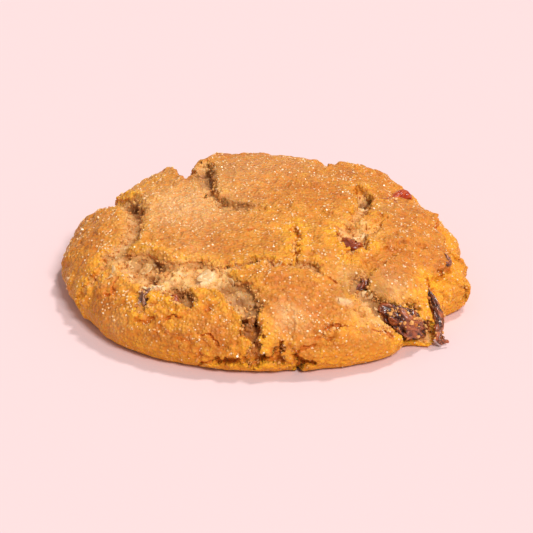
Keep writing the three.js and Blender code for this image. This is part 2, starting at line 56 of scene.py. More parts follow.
Floats = NDArray[np.float64]
Ints = NDArray[np.int64]
Place = tuple[float, ...]
Span = tuple[float, float]
Colour = tuple[float, float, float, float]
Socket = bpy.types.NodeSocket
Mesh = bpy.types.Mesh
Material = bpy.types.Material
Piece = bpy.types.Object

MM = 0.001
BODY = "root"
DOUGH_SLOT = "dough"
RAISIN_SLOT = "raisin"


# ---- Small tools ----


def smoothstep(value: Floats, low: float, high: Floats | float) -> Floats:
    """Rises smoothly from 0 at low to 1 at high."""
    share = np.clip((value - low) / (high - low), 0.0, 1.0)
    return share * share * (3.0 - 2.0 * share)


def bump(distance: Floats, spread: float) -> Floats:
    """A round hill of height 1 over distance 0."""
    return np.exp(-((distance / spread) ** 2))


def lerp(start: Floats | float, end: Floats | float, share: Floats | float) -> Floats:
    """The value that lies the given share of the way from start to end."""
    return start + (end - start) * share


def linear(red: int, green: int, blue: int) -> Colour:
    """A display colour as linear light, by the usual display curve.

    Args:
        red: Red from 0 to 255.
        green: Green from 0 to 255.
        blue: Blue from 0 to 255.

    Returns:
        The colour, with alpha 1.
    """
    values = [c / 255.0 for c in (red, green, blue)]
    light = [c / 12.92 if c <= 0.04045 else ((c + 0.055) / 1.055) ** 2.4 for c in values]
    return (*light, 1.0)


def run_to(places: Floats, x: float = 0.0, y: float = 0.0) -> Floats:
    """How far places on the skin map lie from one place, or from the map's middle."""
    return np.hypot(places[:, 0] - x, places[:, 1] - y)


def patches(places: Floats, spots: tuple[Place, ...]) -> Floats:
    """How strongly places lie in round patches.

    Args:
        places: Rows of x and y.
        spots: The patches, each (x, y, spread, amount).

    Returns:
        One value for each place.
    """
    total = np.zeros(len(places))
    for x, y, spread, amount in spots:
        total += amount * bump(run_to(places, x, y), spread)
    return total


def dome(distance: Floats, height: float, middle: float = 0.6, fall: float = 1.6) -> Floats:
    """Height of a round lump, from the distance to the middle of its cell."""
    return height * (middle - distance**2 * fall)


def swung(noise: Floats | float, base: float, amount: float) -> Floats:
    """A base value that a noise moves up and down."""
    return base + amount * noise


def open_cells(cells: tuple[Floats, Ints], of_five: int, edge: Span) -> Floats:
    """Where a few cells out of every five are open: 1 in their middles, 0 past the edge."""
    distance, which = cells
    return (which % 5 < of_five) * (1 - smoothstep(distance, *edge))


class Noise:
    """Seeded gradient noise and cell noise in two or three dimensions."""

    SIZE = 512
    GAIN = 1.5
    LAYER_GAP = 17.31
    CELL_LAYER_GAP = 11.17

    def __init__(self, seed: int) -> None:
        """Draws the noise's lattice.

        Args:
            seed: Number that the lattice is drawn from.
        """
        draws = np.random.default_rng(seed)
        self.order = draws.permutation(self.SIZE)
        slopes = draws.normal(size=(self.SIZE, 3))
        self.slopes = slopes / np.linalg.norm(slopes, axis=1, keepdims=True)
        self.flat_slopes = slopes[:, :2] / np.linalg.norm(slopes[:, :2], axis=1, keepdims=True)
        self.spots = draws.random((self.SIZE, 3))

    def _entry(self, corner: Ints) -> Ints:
        """Entries of the lattice.

        Args:
            corner: Rows of whole numbers, one for each corner.

        Returns:
            The entry of each corner.
        """
        entry = np.zeros(len(corner), dtype=np.int64)
        for axis in range(corner.shape[1]):
            entry = self.order[(entry + corner[:, axis]) % self.SIZE]
        return entry

    def smooth(self, points: Floats, wave: float, layer: float = 0.0) -> Floats:
        """Gradient noise, about -1 to 1.

        Args:
            points: Rows of two or three coordinates.
            wave: Length of the noise's waves.
            layer: Any number, which picks a noise of its own.

        Returns:
            One value for each point.
        """
        spots = points / wave + layer * self.LAYER_GAP
        base = np.floor(spots).astype(np.int64)
        inside = spots - base
        fade = inside**3 * (inside * (inside * 6.0 - 15.0) + 10.0)
        slopes = self.flat_slopes if points.shape[1] == 2 else self.slopes
        total = np.zeros(len(points))
        for corner in itertools.product((0, 1), repeat=points.shape[1]):
            slope = slopes[self._entry(base + corner)]
            weight = np.prod(np.where(np.array(corner) == 1, fade, 1.0 - fade), axis=1)
            total += weight * np.einsum("ij,ij->i", slope, inside - corner)
        return total * self.GAIN

    def cells(self, points: Floats, wave: float, layer: float = 0.0) -> tuple[Floats, Ints]:
        """Cell noise: how far the nearest of some scattered spots is.

        Args:
            points: Rows of two or three coordinates.
            wave: Size of a cell.
            layer: Any number, which picks a noise of its own.

        Returns:
            The distance to the nearest spot, as a share of wave, and which spot it is.
        """
        spots = points / wave + layer * self.CELL_LAYER_GAP
        base = np.floor(spots).astype(np.int64)
        inside = spots - base
        nearest = np.full(len(points), np.inf)
        which = np.zeros(len(points), dtype=np.int64)
        for corner in itertools.product((-1, 0, 1), repeat=points.shape[1]):
            entry = self._entry(base + corner)
            off = corner + self.spots[entry][:, : points.shape[1]] - inside
            distance = np.einsum("ij,ij->i", off, off)
            closer = distance < nearest
            nearest = np.where(closer, distance, nearest)
            which = np.where(closer, entry, which)
        return np.sqrt(nearest), which


class EvenDraws:
    """A plain repeatable row of numbers from 0 to 1, as the part's own source draws them."""

    STEP = 0x6D2B79F5
    WORD = 0xFFFFFFFF

    def __init__(self, seed: int) -> None:
        """Starts the row at a seed, whose own first number isn't used."""
        self.state = seed
        self.next()

    def next(self) -> float:
        """Steps on in the row.

        Returns:
            The next number.
        """
        self.state = (self.state + self.STEP) & self.WORD
        word = self.state
        word = ((word ^ (word >> 15)) * (word | 1)) & self.WORD
        word ^= (word + ((word ^ (word >> 7)) * (word | 61))) & self.WORD
        return ((word ^ (word >> 14)) & self.WORD) / (self.WORD + 1)


NOISE = Noise(seed=20)


# ---- Base form ----


@dataclass
class BaseForm:
    """The cookie without its relief: a low disc with a rounded rim and a flat underside."""

    half_width: float = 45.0
    half_depth: float = 46.0
    thickness: float = 16.0
    rim_height: float = 4.2
    foot_inset: float = 3.6
    top_squareness: float = 4.0
    shoulder: float = 0.58
    underside_share: float = 0.12
    steps: int = 240
    lobes: tuple[Place, ...] = (
        (-19, 10, 0.9), (-12, 2.5, -1.2), (-1.5, 3.5, -1.5), (26, 22, -3.0), (230, 18, 1.3),
        (-58, 18, 1.9), (112, 4, -2.0), (146, 10, -2.2), (72, 6, -1.2), (-84, 2, -1.0),
        (215, 8, -0.4), (2.0, 2.5, -0.9), (-8, 4, -0.6), (-22, 4, 0.7), (-31, 5, -1.5),
        (-49.5, 3.5, -1.4), (170, 6, -0.5), (187, 6, 0.3), (222, 6, 0.3), (33, 5, -0.5),
    )

    def __post_init__(self) -> None:
        """Lays out the half profile from the middle of the top to that of the underside."""
        self.mean_radius = (self.half_width + self.half_depth) / 2
        foot_reach = 1 - self.foot_inset / self.mean_radius
        top = np.linspace(0, math.pi / 2, self.steps + 1)
        side_steps = self.steps // 4
        side = np.linspace(0, math.pi / 2, side_steps + 1)[1:]
        under = np.linspace(0, 1, side_steps + 1)[1:]
        rise = self.thickness - self.rim_height
        top_z = self.rim_height + rise * np.abs(np.cos(top)) ** (2 * self.shoulder)
        self.reach = np.concatenate([
            np.sin(top) ** (2 / self.top_squareness),
            lerp(foot_reach, 1.0, np.cos(side)),
            foot_reach * (1 - under),
        ])
        self.z = np.concatenate([
            top_z, self.rim_height * (1 - np.sin(side)), np.zeros_like(under),
        ])
        step_r = np.diff(self.reach) * self.mean_radius
        step_z = np.diff(self.z)
        step = np.hypot(step_r, step_z)
        self.run = np.concatenate([[0.0], np.cumsum(step)])
        self.rim_run = self.run[self.steps]
        self.foot_run = self.run[self.steps + side_steps]
        self.middle_run = (self.run[1:] + self.run[:-1]) / 2
        self.out_r = -step_z / step
        self.out_z = step_r / step
        weight = np.where(self.middle_run > self.foot_run, self.underside_share, 1.0)
        shares = np.cumsum((self.reach[1:] + self.reach[:-1]) / 2 * step * weight)
        self.ball_shares = np.concatenate([[0.0], shares / shares[-1]])

    def radius(self, angle: Floats) -> Floats:
        """Radius of the outline.

        Args:
            angle: Directions in radians.

        Returns:
            The radius in each direction.
        """
        radius = 1 / np.hypot(np.cos(angle) / self.half_width, np.sin(angle) / self.half_depth)
        for direction, half_width, outwards in self.lobes:
            off = (np.degrees(angle) - direction + 180) % 360 - 180
            radius += outwards * bump(off, half_width)
        return radius

    def places(self, directions: Floats) -> Floats:
        """Places on the skin map of directions from the middle of a ball.

        Args:
            directions: Rows of unit directions.

        Returns:
            Rows of x and y.
        """
        run = np.interp((1 - directions[:, 2]) / 2, self.ball_shares, self.run)
        angle = np.arctan2(directions[:, 1], directions[:, 0])
        return np.stack([run * np.cos(angle), run * np.sin(angle)], axis=1)

    def points(self, places: Floats, height: Floats) -> Floats:
        """Points of the object at a height over places of the skin map.

        Args:
            places: Rows of x and y on the skin map.
            height: Height over the base form, square to it. From the rim down it is
                measured level, so that nothing reaches under z = 0.

        Returns:
            Rows of x, y and z.
        """
        run = run_to(places)
        angle = np.arctan2(places[:, 1], places[:, 0])
        out_r = np.interp(run, self.middle_run, self.out_r)
        out_z = np.interp(run, self.middle_run, self.out_z)
        length = np.hypot(out_r, out_z)
        level = run > self.rim_run
        out_r = np.where(level, 1.0, out_r / length)
        out_z = np.where(level, 0.0, out_z / length)
        radius = np.interp(run, self.run, self.reach) * self.radius(angle) + height * out_r
        z = np.interp(run, self.run, self.z) + height * out_z
        return np.stack([radius * np.cos(angle), radius * np.sin(angle), z], axis=1)


FORM = BaseForm()


# ---- Relief of the crust ----


@dataclass(frozen=True)
class Split:
    """A split of the crust.

    Attributes:
        path: Points of its middle line, each (x, y, half width, depth).
        walls: Lengths over which the wall on the left and on the right of the path rise,
            where they aren't steep.
        crumb: How far pale crumb shows in it, from 0, where the crust runs through, to 1.
    """

    path: tuple[Place, ...]
    walls: tuple[float, float] | None = None
    crumb: float = 1.0


@dataclass
class Skin:
    """What the relief says at places of the skin map, one value each."""

    height: Floats
    depth: Floats
    torn: Floats
    share: Floats
    edge: Floats
    bare: Floats
    away: Floats
    hairline: Floats
    flake: Floats
    rise: Floats
    crag: Floats

    @staticmethod
    def joined(parts: list["Skin"]) -> "Skin":
        """One row of values from several."""
        names = [entry.name for entry in fields(Skin)]
        return Skin(**{n: np.concatenate([getattr(p, n) for p in parts]) for n in names})


@dataclass
class Crust:
    """Relief of the crust: its swells, splits, steps, pits and flakes.

    Attributes:
        steep: Length over which a split's steep wall rises.
        edge_reach: How far outside a split its edge is still measured.
        bare_from: Least crumb of a split that counts as bare.
        crust_end: Depth at which nothing of the crust is left.
        ragged: Noises that tear the edges, each (wave, amount).
        uneven: Noises that make the crust uneven, each (wave, height).
        step_line: The step between the right plate and the outer band, each (x, y).
        swells: Round swells and dips, each (x, y, spread, height).
        hairlines: Fine cracks, as the path of a split.
        pits: Round pits, each (x, y, spread, depth).
        crags: Rough patches, each (x, y, spread, amount).
        bare_flakes: Flakes that show, each (x, y, half length, half width, turn, amount).
    """

    steep: float = 0.42
    edge_reach: float = 6.0
    bare_from: float = 0.2
    crust_end: float = 1.5
    hairline_wall: float = 0.2
    hairline_reach: float = 0.6
    hairline_spread: float = 0.28
    hairline_raggedness: float = 0.5
    lip_height: float = 0.22
    lip_width: float = 0.9
    ragged: tuple[Place, ...] = ((2.6, 0.6), (1.1, 0.5), (0.5, 0.24))
    uneven: tuple[Place, ...] = ((8.0, 0.3), (3.2, 0.16))
    step_drop: float = 1.4
    step_run: float = 0.9
    step_fade: float = 5.0
    step_line: tuple[Place, ...] = (
        (37, 16), (40, 8), (41.2, 0), (41.5, -8), (40, -15), (37.4, -21), (36.6, -25),
        (39.5, -28.5),
    )
    hidden_flakes: int = 70
    hidden_flake_rise: float = 0.4
    flake_half_length: Span = (1.6, 2.6)
    flake_slimness: float = 0.7
    flake_seed: int = 11
    flake_edge: Span = (0.6, 1.12)
    crag_wave: float = 2.0
    crag_patchiness: float = 0.3
    crag_edge: Span = (0.15, 0.8)
    relief_end: float = 2.0
    relief_fade: float = 10.0

    swells: tuple[Place, ...] = (
        (3, -26, 14, 1.2), (30, -5, 12, 0.8),
        (-38.5, 15.5, 4.6, -1.0), (-44, 7, 4, -0.5),
        (-30, 30, 8, -0.5),
        (-12.5, 38, 5, 1.1), (5, 40, 9, -0.4), (21, 36, 3.5, 0.2), (27.5, 31, 3.5, 1.0),
        (42, 8, 3.5, 1.1),
        (39.0, -36.7, 3.0, 4.0),
        (-36, -26, 6, 0.7),
        (-20, -14, 7, 0.5),
        (2, -33, 7, 0.6),
        (28, -22, 8, 0.7),
        (-6, 14, 8, 0.5),
        (-3.2, -40.5, 1.3, 1.9),
        (14, -43, 1.8, 0.5),
    )

    splits: tuple[Split, ...] = (
        # Left valley and the nick that runs from it to the rim.
        Split(((-42, 27, 1.0, 1.4), (-38, 19, 1.2, 2.0), (-34.5, 14, 1.1, 2.4)),
              walls=(2.8, 2.4), crumb=0.3),
        Split(((-34.5, 14, 1.0, 2.4), (-32.2, 11.4, 1.2, 3.9), (-30.3, 7.5, 1.0, 3.2),
               (-29.2, 2, 0.8, 2.8), (-28.9, -4.5, 0.8, 2.5), (-29.8, -8.7, 0.9, 2.3),
               (-31.2, -12.1, 1.0, 2.1), (-32.8, -14.2, 1.0, 1.9), (-34.8, -15.8, 0.9, 1.4)),
              walls=(2.4, 3.2), crumb=0.8),
        Split(((-32.6, -16.2, 1.2, 1.6), (-30, -18, 1.8, 1.9), (-27, -20, 3.2, 2.3)),
              walls=(1.4, 1.4)),
        Split(((-31, -17.5, 2, 1.8), (-34.5, -18.3, 1.0, 1.1), (-37.5, -20.8, 1.3, 1.2),
               (-40.5, -22.8, 1.2, 0.9), (-44.5, -23.8, 1.2, 0.4)), walls=(0.9, 0.9),
              crumb=0.6),
        # Field of crumb and the pocket in front of it.
        Split(((-27, -20.5, 3.6, 2.4), (-24.3, -22.8, 4.3, 2.3)), walls=(0.6, 1.6)),
        Split(((-24, -24, 3.8, 2.2), (-19.5, -26, 4.0, 1.9), (-14.8, -26.6, 3.8, 1.6),
               (-10.8, -29.4, 2.4, 1.9)), walls=(2.2, 1.4)),
        Split(((-19.5, -30.5, 2.0, 2.4), (-17, -33, 1.9, 2.6), (-15.8, -36, 1.0, 3.0))),
        # Deep split of the front, and the hollows under the lip of the rim.
        Split(((-9.6, -28.5, 1.4, 1.8), (-8.8, -31, 1.5, 1.9), (-6.8, -33.2, 2.1, 2.1),
               (-5, -35.6, 2.8, 2.2), (-3.7, -38, 2.3, 2.4)), walls=(0.8, 1.2)),
        Split(((-3.6, -38.6, 1.6, 2.6), (-3.2, -41.5, 1.8, 3.6),
               (-3, -43.8, 2.0, 3.8), (-2.3, -45.8, 0.9, 3.0), (-2.4, -47.6, 0.9, 2.6),
               (-2.8, -49.3, 1.6, 2.6), (-3, -50.6, 1.2, 1.9)), walls=(0.5, 0.8), crumb=0.25),
        Split(((-12.5, -50, 0.5, 0.6), (-9.8, -50, 0.9, 2.2), (-7.8, -50, 0.8, 1.8),
               (-5.8, -50.2, 0.5, 1.0), (-3.5, -49.8, 1.3, 2.6), (-1.2, -49.6, 1.1, 2.6),
               (0.5, -50.3, 0.5, 1.2), (2.4, -49.8, 0.9, 2.2), (3.5, -50.6, 0.7, 1.6)),
              crumb=0.1),
        Split(((3, -46.5, 0.4, 0.7), (2.7, -48, 0.7, 1.6), (2.3, -49.6, 0.9, 2.2)), crumb=0.1),
        Split(((6.6, -49.4, 0.5, 1.2), (8.5, -50, 1.0, 2.2), (10.4, -49.9, 0.5, 1.2)),
              crumb=0.1),
        Split(((7.6, -50.5, 0.8, 1.8), (8, -55, 0.8, 1.8)), crumb=0.1),
        # Cracks of the middle: a shallow groove with a few holes.
        Split(((-9.5, -27, 1.2, 1.4), (-7, -26.4, 0.7, 0.9), (-5, -25.2, 0.7, 1.3),
               (-2.5, -24.3, 0.9, 1.7), (-0.6, -24.6, 0.5, 0.7), (0.9, -25.2, 0.8, 1.5),
               (2, -27, 0.5, 0.7), (4.5, -26.4, 0.8, 0.8), (7, -25.3, 1.3, 1.3),
               (9.5, -25.3, 1.3, 1.8), (10.4, -28.3, 0.5, 0.8)), walls=(0.6, 0.9)),
        Split(((5.6, -8, 0.4, 0.7), (6.2, -11, 0.5, 1.3), (6.5, -13.5, 0.3, 0.7),
               (6.0, -17.5, 0.5, 1.5), (6.2, -20.5, 0.5, 1.4), (5.7, -22.6, 0.3, 0.7),
               (5.3, -25, 0.6, 1.2)), walls=(0.3, 0.5), crumb=0.35),
        # Right valley, the patch of crumb in front of it and its cracks.
        Split(((22.4, 14, 0.7, 0.8), (23.4, 11, 0.8, 1.8), (23.6, 8, 1.3, 3.6),
               (23.0, 5, 1.1, 2.0), (22.2, 1, 1.2, 1.8), (21, -2.5, 1.0, 2.6),
               (19.7, -5.5, 0.5, 1.4)), walls=(0.7, 2.2), crumb=0.5),
        Split(((16.6, -8.4, 0.9, 1.2), (18.2, -9.5, 1.9, 1.5), (19.4, -12, 2.5, 2.0)),
              walls=(1.8, 1.0)),
        Split(((16.3, -11.0, 1.3, 1.6), (17.6, -14.6, 2.0, 2.0), (20.6, -15.6, 1.7, 1.9)),
              walls=(0.6, 0.6), crumb=0.7),
        Split(((18.3, -17.2, 0.9, 1.4), (17, -20.3, 0.4, 0.7), (17.4, -23.5, 0.3, 0.4)),
              walls=(0.8, 0.8), crumb=0.4),
        Split(((26.3, -1.5, 0.4, 0.7), (25.2, -4.8, 0.5, 1.1), (23.8, -6.5, 0.8, 1.0),
               (22.3, -9, 1.2, 1.4)), walls=(0.8, 1.0), crumb=0.5),
        # Hollow that bares the raisin on the left.
        Split(((-24.6, -28.8, 1.1, 1.0), (-25.3, -31.2, 1.3, 1.4), (-26.2, -34.2, 0.9, 1.1)),
              walls=(0.5, 0.5), crumb=0.6),
        Split(((32, -12, 1.0, 0.4), (27.5, -17.5, 1.1, 0.6), (24.5, -19.9, 1.1, 0.9),
               (21.5, -23.5, 1.1, 0.8), (20.2, -26.3, 0.8, 1.0)), walls=(1.4, 1.8), crumb=0.15),
        # Valley of the front right raisins.
        Split(((20.2, -26.3, 0.8, 1.2), (19.3, -28.5, 1.1, 1.9), (18.8, -31, 1.3, 1.9),
               (20.8, -33, 1.4, 1.9), (22.8, -33.9, 1.5, 2.5), (25, -34.6, 2.0, 3.0)),
              walls=(0.5, 2.2)),
        Split(((25, -34.6, 2.0, 3.0), (28.6, -35.8, 2.3, 3.2), (33, -36.4, 2.5, 3.0),
               (36.8, -35.0, 2.0, 2.6)), walls=(0.5, 2.2), crumb=0.4),
        # Holes in the crust over them.
        Split(((22.9, -32.6, 0.8, 2.4), (25.2, -34.0, 1.1, 3.2)), walls=(0.5, 0.5), crumb=0.4),
        Split(((30.4, -31.2, 0.7, 2.2), (32.2, -31.7, 0.7, 2.4)), walls=(0.5, 0.5), crumb=0.4),
        Split(((35.6, -23.5, 0.6, 0.9), (36.3, -27, 1.3, 2.2), (37.8, -29.6, 1.6, 2.4),
               (39.8, -31.6, 1.6, 1.6), (42, -33.5, 1.2, 0.8)), walls=(0.6, 0.6), crumb=0.3),
        # Crease between the right plate and the outer band, and the band's notches.
        Split(((40.4, 5, 0.3, 0.3), (41.2, 0, 0.4, 0.7), (41.5, -6, 0.4, 0.8),
               (40.4, -12, 0.4, 0.8), (39.9, -16, 0.4, 0.7), (38.4, -20, 0.3, 0.4)),
              walls=(0.5, 0.5), crumb=0.0),
        Split(((43.0, -6.6, 0.4, 0.4), (46.6, -6.6, 0.6, 1.0), (50.5, -6.6, 0.5, 0.8)),
              walls=(0.8, 0.8), crumb=0.0),
        Split(((42.6, -17.6, 0.4, 0.4), (45.6, -18.2, 0.7, 1.3), (49.2, -19.2, 0.6, 1.0)),
              walls=(0.8, 0.8), crumb=0.0),
        # Back: a dip, the notch of the rim and the long valley.
        Split(((14.8, 29, 0.6, 0.9), (16.4, 35, 1.1, 3.0), (18.0, 41, 1.3, 3.8),
               (19.5, 47, 1.3, 2.8)), walls=(4.2, 1.7), crumb=0.1),
        Split(((-18.2, 19.5, 0.6, 0.5), (-18.5, 24, 1.3, 2.4), (-19.5, 30, 1.8, 4.0),
               (-21, 37, 2.2, 5.2), (-22.5, 43, 2.2, 5.0), (-24, 50, 2.0, 2.6)),
              walls=(1.0, 2.6), crumb=0.12),
        Split(((-15, 32.5, 0.6, 1.0), (-14, 28, 1.0, 3.3), (-13.2, 22, 0.9, 2.6),
               (-12.7, 14, 0.9, 2.0), (-11.8, 9, 1.0, 2.1), (-10.2, 4.6, 0.9, 1.9),
               (-8.6, 2.9, 0.8, 1.2), (-5, 2.2, 0.7, 0.8), (-1.3, 1.6, 0.5, 0.5)),
              walls=(0.7, 3.2), crumb=0.85),
    )

    hairlines: tuple[tuple[Place, ...], ...] = (
        ((-14, -43.5, 0.15, 0.4), (-12, -43.8, 0.25, 0.6), (-11, -45, 0.25, 0.6),
         (-10.3, -46.2, 0.15, 0.4)),
        ((-19, -43, 0.12, 0.25), (-17, -44, 0.12, 0.25)),
        ((-17.5, -51, 0.2, 0.4), (-15, -49.5, 0.2, 0.5), (-12.5, -49.3, 0.2, 0.4)),
        ((10, -44.7, 0.2, 0.4), (11.5, -44.2, 0.25, 0.6), (12.2, -42.5, 0.25, 0.6),
         (14, -41, 0.2, 0.6), (15.5, -41.3, 0.2, 0.5), (16, -41, 0.15, 0.3)),
        ((7, -48, 0.2, 0.5), (8, -46.8, 0.25, 0.6), (10, -46.2, 0.2, 0.5)),
        ((4, -48, 0.2, 0.5), (3, -46.5, 0.2, 0.5)),
        ((12, -28.5, 0.2, 0.4), (13.5, -29.5, 0.3, 0.6), (14, -30, 0.2, 0.4)),
        ((-38.5, -20, 0.2, 0.5), (-36.5, -21.5, 0.2, 0.4)),
        ((-34, -27.5, 0.3, 0.7), (-33, -28.2, 0.3, 0.6)),
        ((-27.6, -36.0, 0.2, 0.4), (-25.6, -37.4, 0.25, 0.6), (-23.4, -37.0, 0.2, 0.5)),
        ((-21, -38.6, 0.2, 0.4), (-19.4, -37.8, 0.25, 0.6), (-18.2, -38.8, 0.15, 0.4)),
        ((-31.4, -24.2, 0.2, 0.5), (-32.8, -26.0, 0.25, 0.6), (-32.2, -28.4, 0.2, 0.5)),
        ((22, -40.2, 0.2, 0.4), (24.5, -39.6, 0.25, 0.6), (26.6, -40.4, 0.2, 0.4)),
        ((39.6, 4, 0.12, 0.3), (41.2, -3, 0.15, 0.4), (41, -10, 0.15, 0.4)),
        ((-4.6, -9.8, 0.12, 0.3), (-2.4, -9.2, 0.15, 0.3)),
    )

    pits: tuple[Place, ...] = (
        (-23.8, -24.2, 0.9, 2.2), (-17.6, -29.9, 1.3, 2.4), (-31.2, -19, 0.9, 1.0),
        (-22.6, -19.8, 1.5, 1.7), (-2.3, -23.7, 0.9, 1.2), (21.6, 14.4, 0.9, 0.9),
        (-5, -11, 0.35, 0.5), (-3, -4, 0.3, 0.4), (9.5, -1, 0.3, 0.5), (18, 7, 0.35, 0.5),
        (25.5, 14, 0.4, 0.5), (15, 12, 0.3, 0.4), (-16.5, -7, 0.35, 0.5),
        (24.5, -20, 0.4, 0.6), (-35, -18.5, 0.5, 0.6), (-4.6, -25, 0.5, 0.8),
        (30, -31, 0.7, 1.0), (-32.2, 11, 1.0, 1.0), (-29.5, 5.5, 0.9, 0.9),
    )

    crags: tuple[Place, ...] = (
        (-19.5, -36, 3.5, 1.0), (-14, -46, 4.0, 0.9), (-7, -46.5, 3.0, 1.0),
        (-12.5, -37.5, 2.5, 0.7), (5, -48.5, 3.0, 1.0), (13, -43, 3.2, 1.0),
        (15, -47.5, 3.5, 0.6), (19, -38, 3.5, 1.0), (24, -38.5, 3.0, 1.0),
        (30, -40, 3.0, 0.7), (41, -24, 4.0, 0.8), (44, -16, 3.0, 0.6), (27, -30, 3.0, 0.8),
        (33, -30.5, 2.5, 0.9), (15, -31, 3.0, 0.6), (9.5, -22, 2.5, 0.6), (26, 13, 4.0, 0.7),
        (20, 1, 2.5, 0.7), (31, 22, 3.0, 0.7), (-34, -22, 3.0, 0.7), (-24, -35, 2.5, 0.8),
        (-22, -17, 3.0, 0.7), (-10, -24.5, 3.0, 0.8), (-33, 8, 2.5, 0.5), (16, 33, 3.5, 0.6),
        (22, 29, 4.0, 0.9), (28, 25, 4.0, 0.8), (33, 18, 3.5, 0.8), (-30, -31, 3.5, 0.6),
        (-21, -40, 3.5, 0.6), (4, -28, 3.0, 0.5),
    )
    bare_flakes: tuple[Place, ...] = (
        (-23.2, -28.9, 2.6, 1.5, -24, 1.0), (-12.6, -27.4, 2.8, 2.0, 60, 1.0),
        (15.6, -35, 2.0, 1.2, -8, 0.5),
    )
    bare_flake_rise: float = 0.6

    def __post_init__(self) -> None:
        """Draws the flakes that lie under the crust."""
        draws = EvenDraws(self.flake_seed)
        self.flakes: list[Place] = []
        for _ in range(self.hidden_flakes):
            run = FORM.rim_run * math.sqrt(draws.next())
            angle = 2 * math.pi * draws.next()
            half_length = lerp(*self.flake_half_length, draws.next())
            turn = 180 * draws.next()
            place = (run * math.cos(angle), run * math.sin(angle))
            self.flakes.append((*place, half_length, self.flake_slimness * half_length, turn))

    def _towards(self, places: Floats, start: Place, end: Place) -> tuple[Floats, ...]:
        """Where places lie beside a piece of line.

        Args:
            places: Rows of x and y.
            start: First end of the line.
            end: Second end of the line.

        Returns:
            The offset from the nearest point of the line as rows, its length, the share of
            the line before that point, and the side, which is positive on the line's left.
        """
        along = np.subtract(end[:2], start[:2])
        off = places - start[:2]
        share = np.clip(off @ along / (along @ along), 0.0, 1.0)
        off = off - share[:, None] * along
        side = along[0] * off[:, 1] - along[1] * off[:, 0]
        return off, np.hypot(off[:, 0], off[:, 1]), share, side

    def _cut(self, places: Floats, splits: tuple[Split, ...], steep: float,
             reach: float) -> tuple[Floats, ...]:
        """How splits cut into the crust.

        Args:
            places: Rows of x and y.
            splits: The splits.
            steep: Length over which a steep wall rises.
            reach: How far outside a split its edge is still measured.

        Returns:
            The depth, the depth to which pale crumb counts, the depth as a share of the
            split's own, the distance outside the nearest edge, negative inside, the same
            for splits that bare crumb, and the direction away from the middle line.
        """
        count = len(places)
        depth, torn, share = np.zeros(count), np.zeros(count), np.zeros(count)
        edge, bare, away = np.full(count, reach), np.full(count, reach), np.zeros((count, 2))
        for split in splits:
            walls = split.walls or (steep, steep)
            for start, end in itertools.pairwise(split.path):
                margin = max(start[2], end[2]) + max(walls) + reach
                low = np.minimum(start[:2], end[:2]) - margin
                high = np.maximum(start[:2], end[:2]) + margin
                near = np.flatnonzero(np.all((places > low) & (places < high), axis=1))
                if len(near) == 0:
                    continue
                off, distance, part, side = self._towards(places[near], start, end)
                half_width = lerp(start[2], end[2], part)
                full = lerp(start[3], end[3], part)
                wall = np.where(side > 0, walls[0], walls[1])
                inner = half_width - steep / 2
                inside = 1 - smoothstep(distance - inner, 0.0, wall)
                outside = distance - half_width
                edge[near] = np.minimum(edge[near], outside)
                if split.crumb > self.bare_from:
                    bare[near] = np.minimum(bare[near], outside)
                torn[near] = np.maximum(torn[near], full * inside * split.crumb)
                deeper = full * inside > depth[near]
                hit = near[deeper]
                depth[hit] = (full * inside)[deeper]
                share[hit] = inside[deeper]
                away[hit] = off[deeper] / np.maximum(distance[deeper], 1e-6)[:, None]
        return depth, torn, share, edge, bare, away

    def beyond_step(self, places: Floats) -> Floats:
        """How far places lie beyond the step.

        Args:
            places: Rows of x and y.

        Returns:
            Share of the step's drop: 0 on the plate and 1 on the outer band.
        """
        nearest = np.full(len(places), np.inf)
        outside = np.zeros(len(places))
        for start, end in itertools.pairwise(self.step_line):
            _, distance, _, side = self._towards(places, start, end)
            closer = distance < nearest
            nearest = np.where(closer, distance, nearest)
            outside = np.where(closer, np.sign(side) * distance, outside)
        ends = [self.step_line[0], self.step_line[-1]]
        to_end = np.min([np.hypot(*(places - end).T) for end in ends], axis=0)
        to_rim = FORM.rim_run - run_to(places)
        return (smoothstep(outside, -self.step_run / 2, self.step_run / 2)
                * smoothstep(to_end, 0, self.step_fade) * smoothstep(to_rim, 0, self.step_fade))

    def flake_share(self, flake: Place, places: Floats) -> Floats:
        """How far places lie on an oat flake.

        Args:
            flake: The flake: x, y, half length, half width and turn in degrees.
            places: Rows of x and y.

        Returns:
            1 on its flat and 0 outside its rounded edge.
        """
        x, y, half_length, half_width, turn = flake[:5]
        cos, sin = math.cos(math.radians(turn)), math.sin(math.radians(turn))
        along = ((places[:, 0] - x) * cos + (places[:, 1] - y) * sin) / half_length
        across = ((places[:, 1] - y) * cos - (places[:, 0] - x) * sin) / half_width
        return 1 - smoothstep(np.hypot(along, across), *self.flake_edge)

    def _ragged(self, places: Floats) -> Floats:
        """Moves places about a little, which makes torn edges of smooth ones.

        Args:
            places: Rows of x and y.

        Returns:
            The moved rows.
        """
        moved = places.copy()
        for index, (wave, amount) in enumerate(self.ragged):
            moved[:, 0] += amount * NOISE.smooth(places, wave, 3.1 + index)
            moved[:, 1] += amount * NOISE.smooth(places, wave, 7.7 + index)
        return moved

    def _skin(self, places: Floats) -> Skin:
        """The relief above the foot.

        Args:
            places: Rows of x and y.

        Returns:
            The relief at each place.
        """
        ragged = self._ragged(places)
        depth, torn, share, edge, bare, away = self._cut(
            ragged, self.splits, self.steep, self.edge_reach)
        hair = tuple(Split(path) for path in self.hairlines)
        fine = lerp(places, ragged, self.hairline_raggedness)
        hair_depth, _, hair_share, hair_edge, *_ = self._cut(
            fine, hair, self.hairline_wall, self.hairline_reach)
        near_hair = 1 - smoothstep(hair_edge, 0.0, self.hairline_spread)
        crust = 1 - np.clip(depth / self.crust_end, 0, 1)

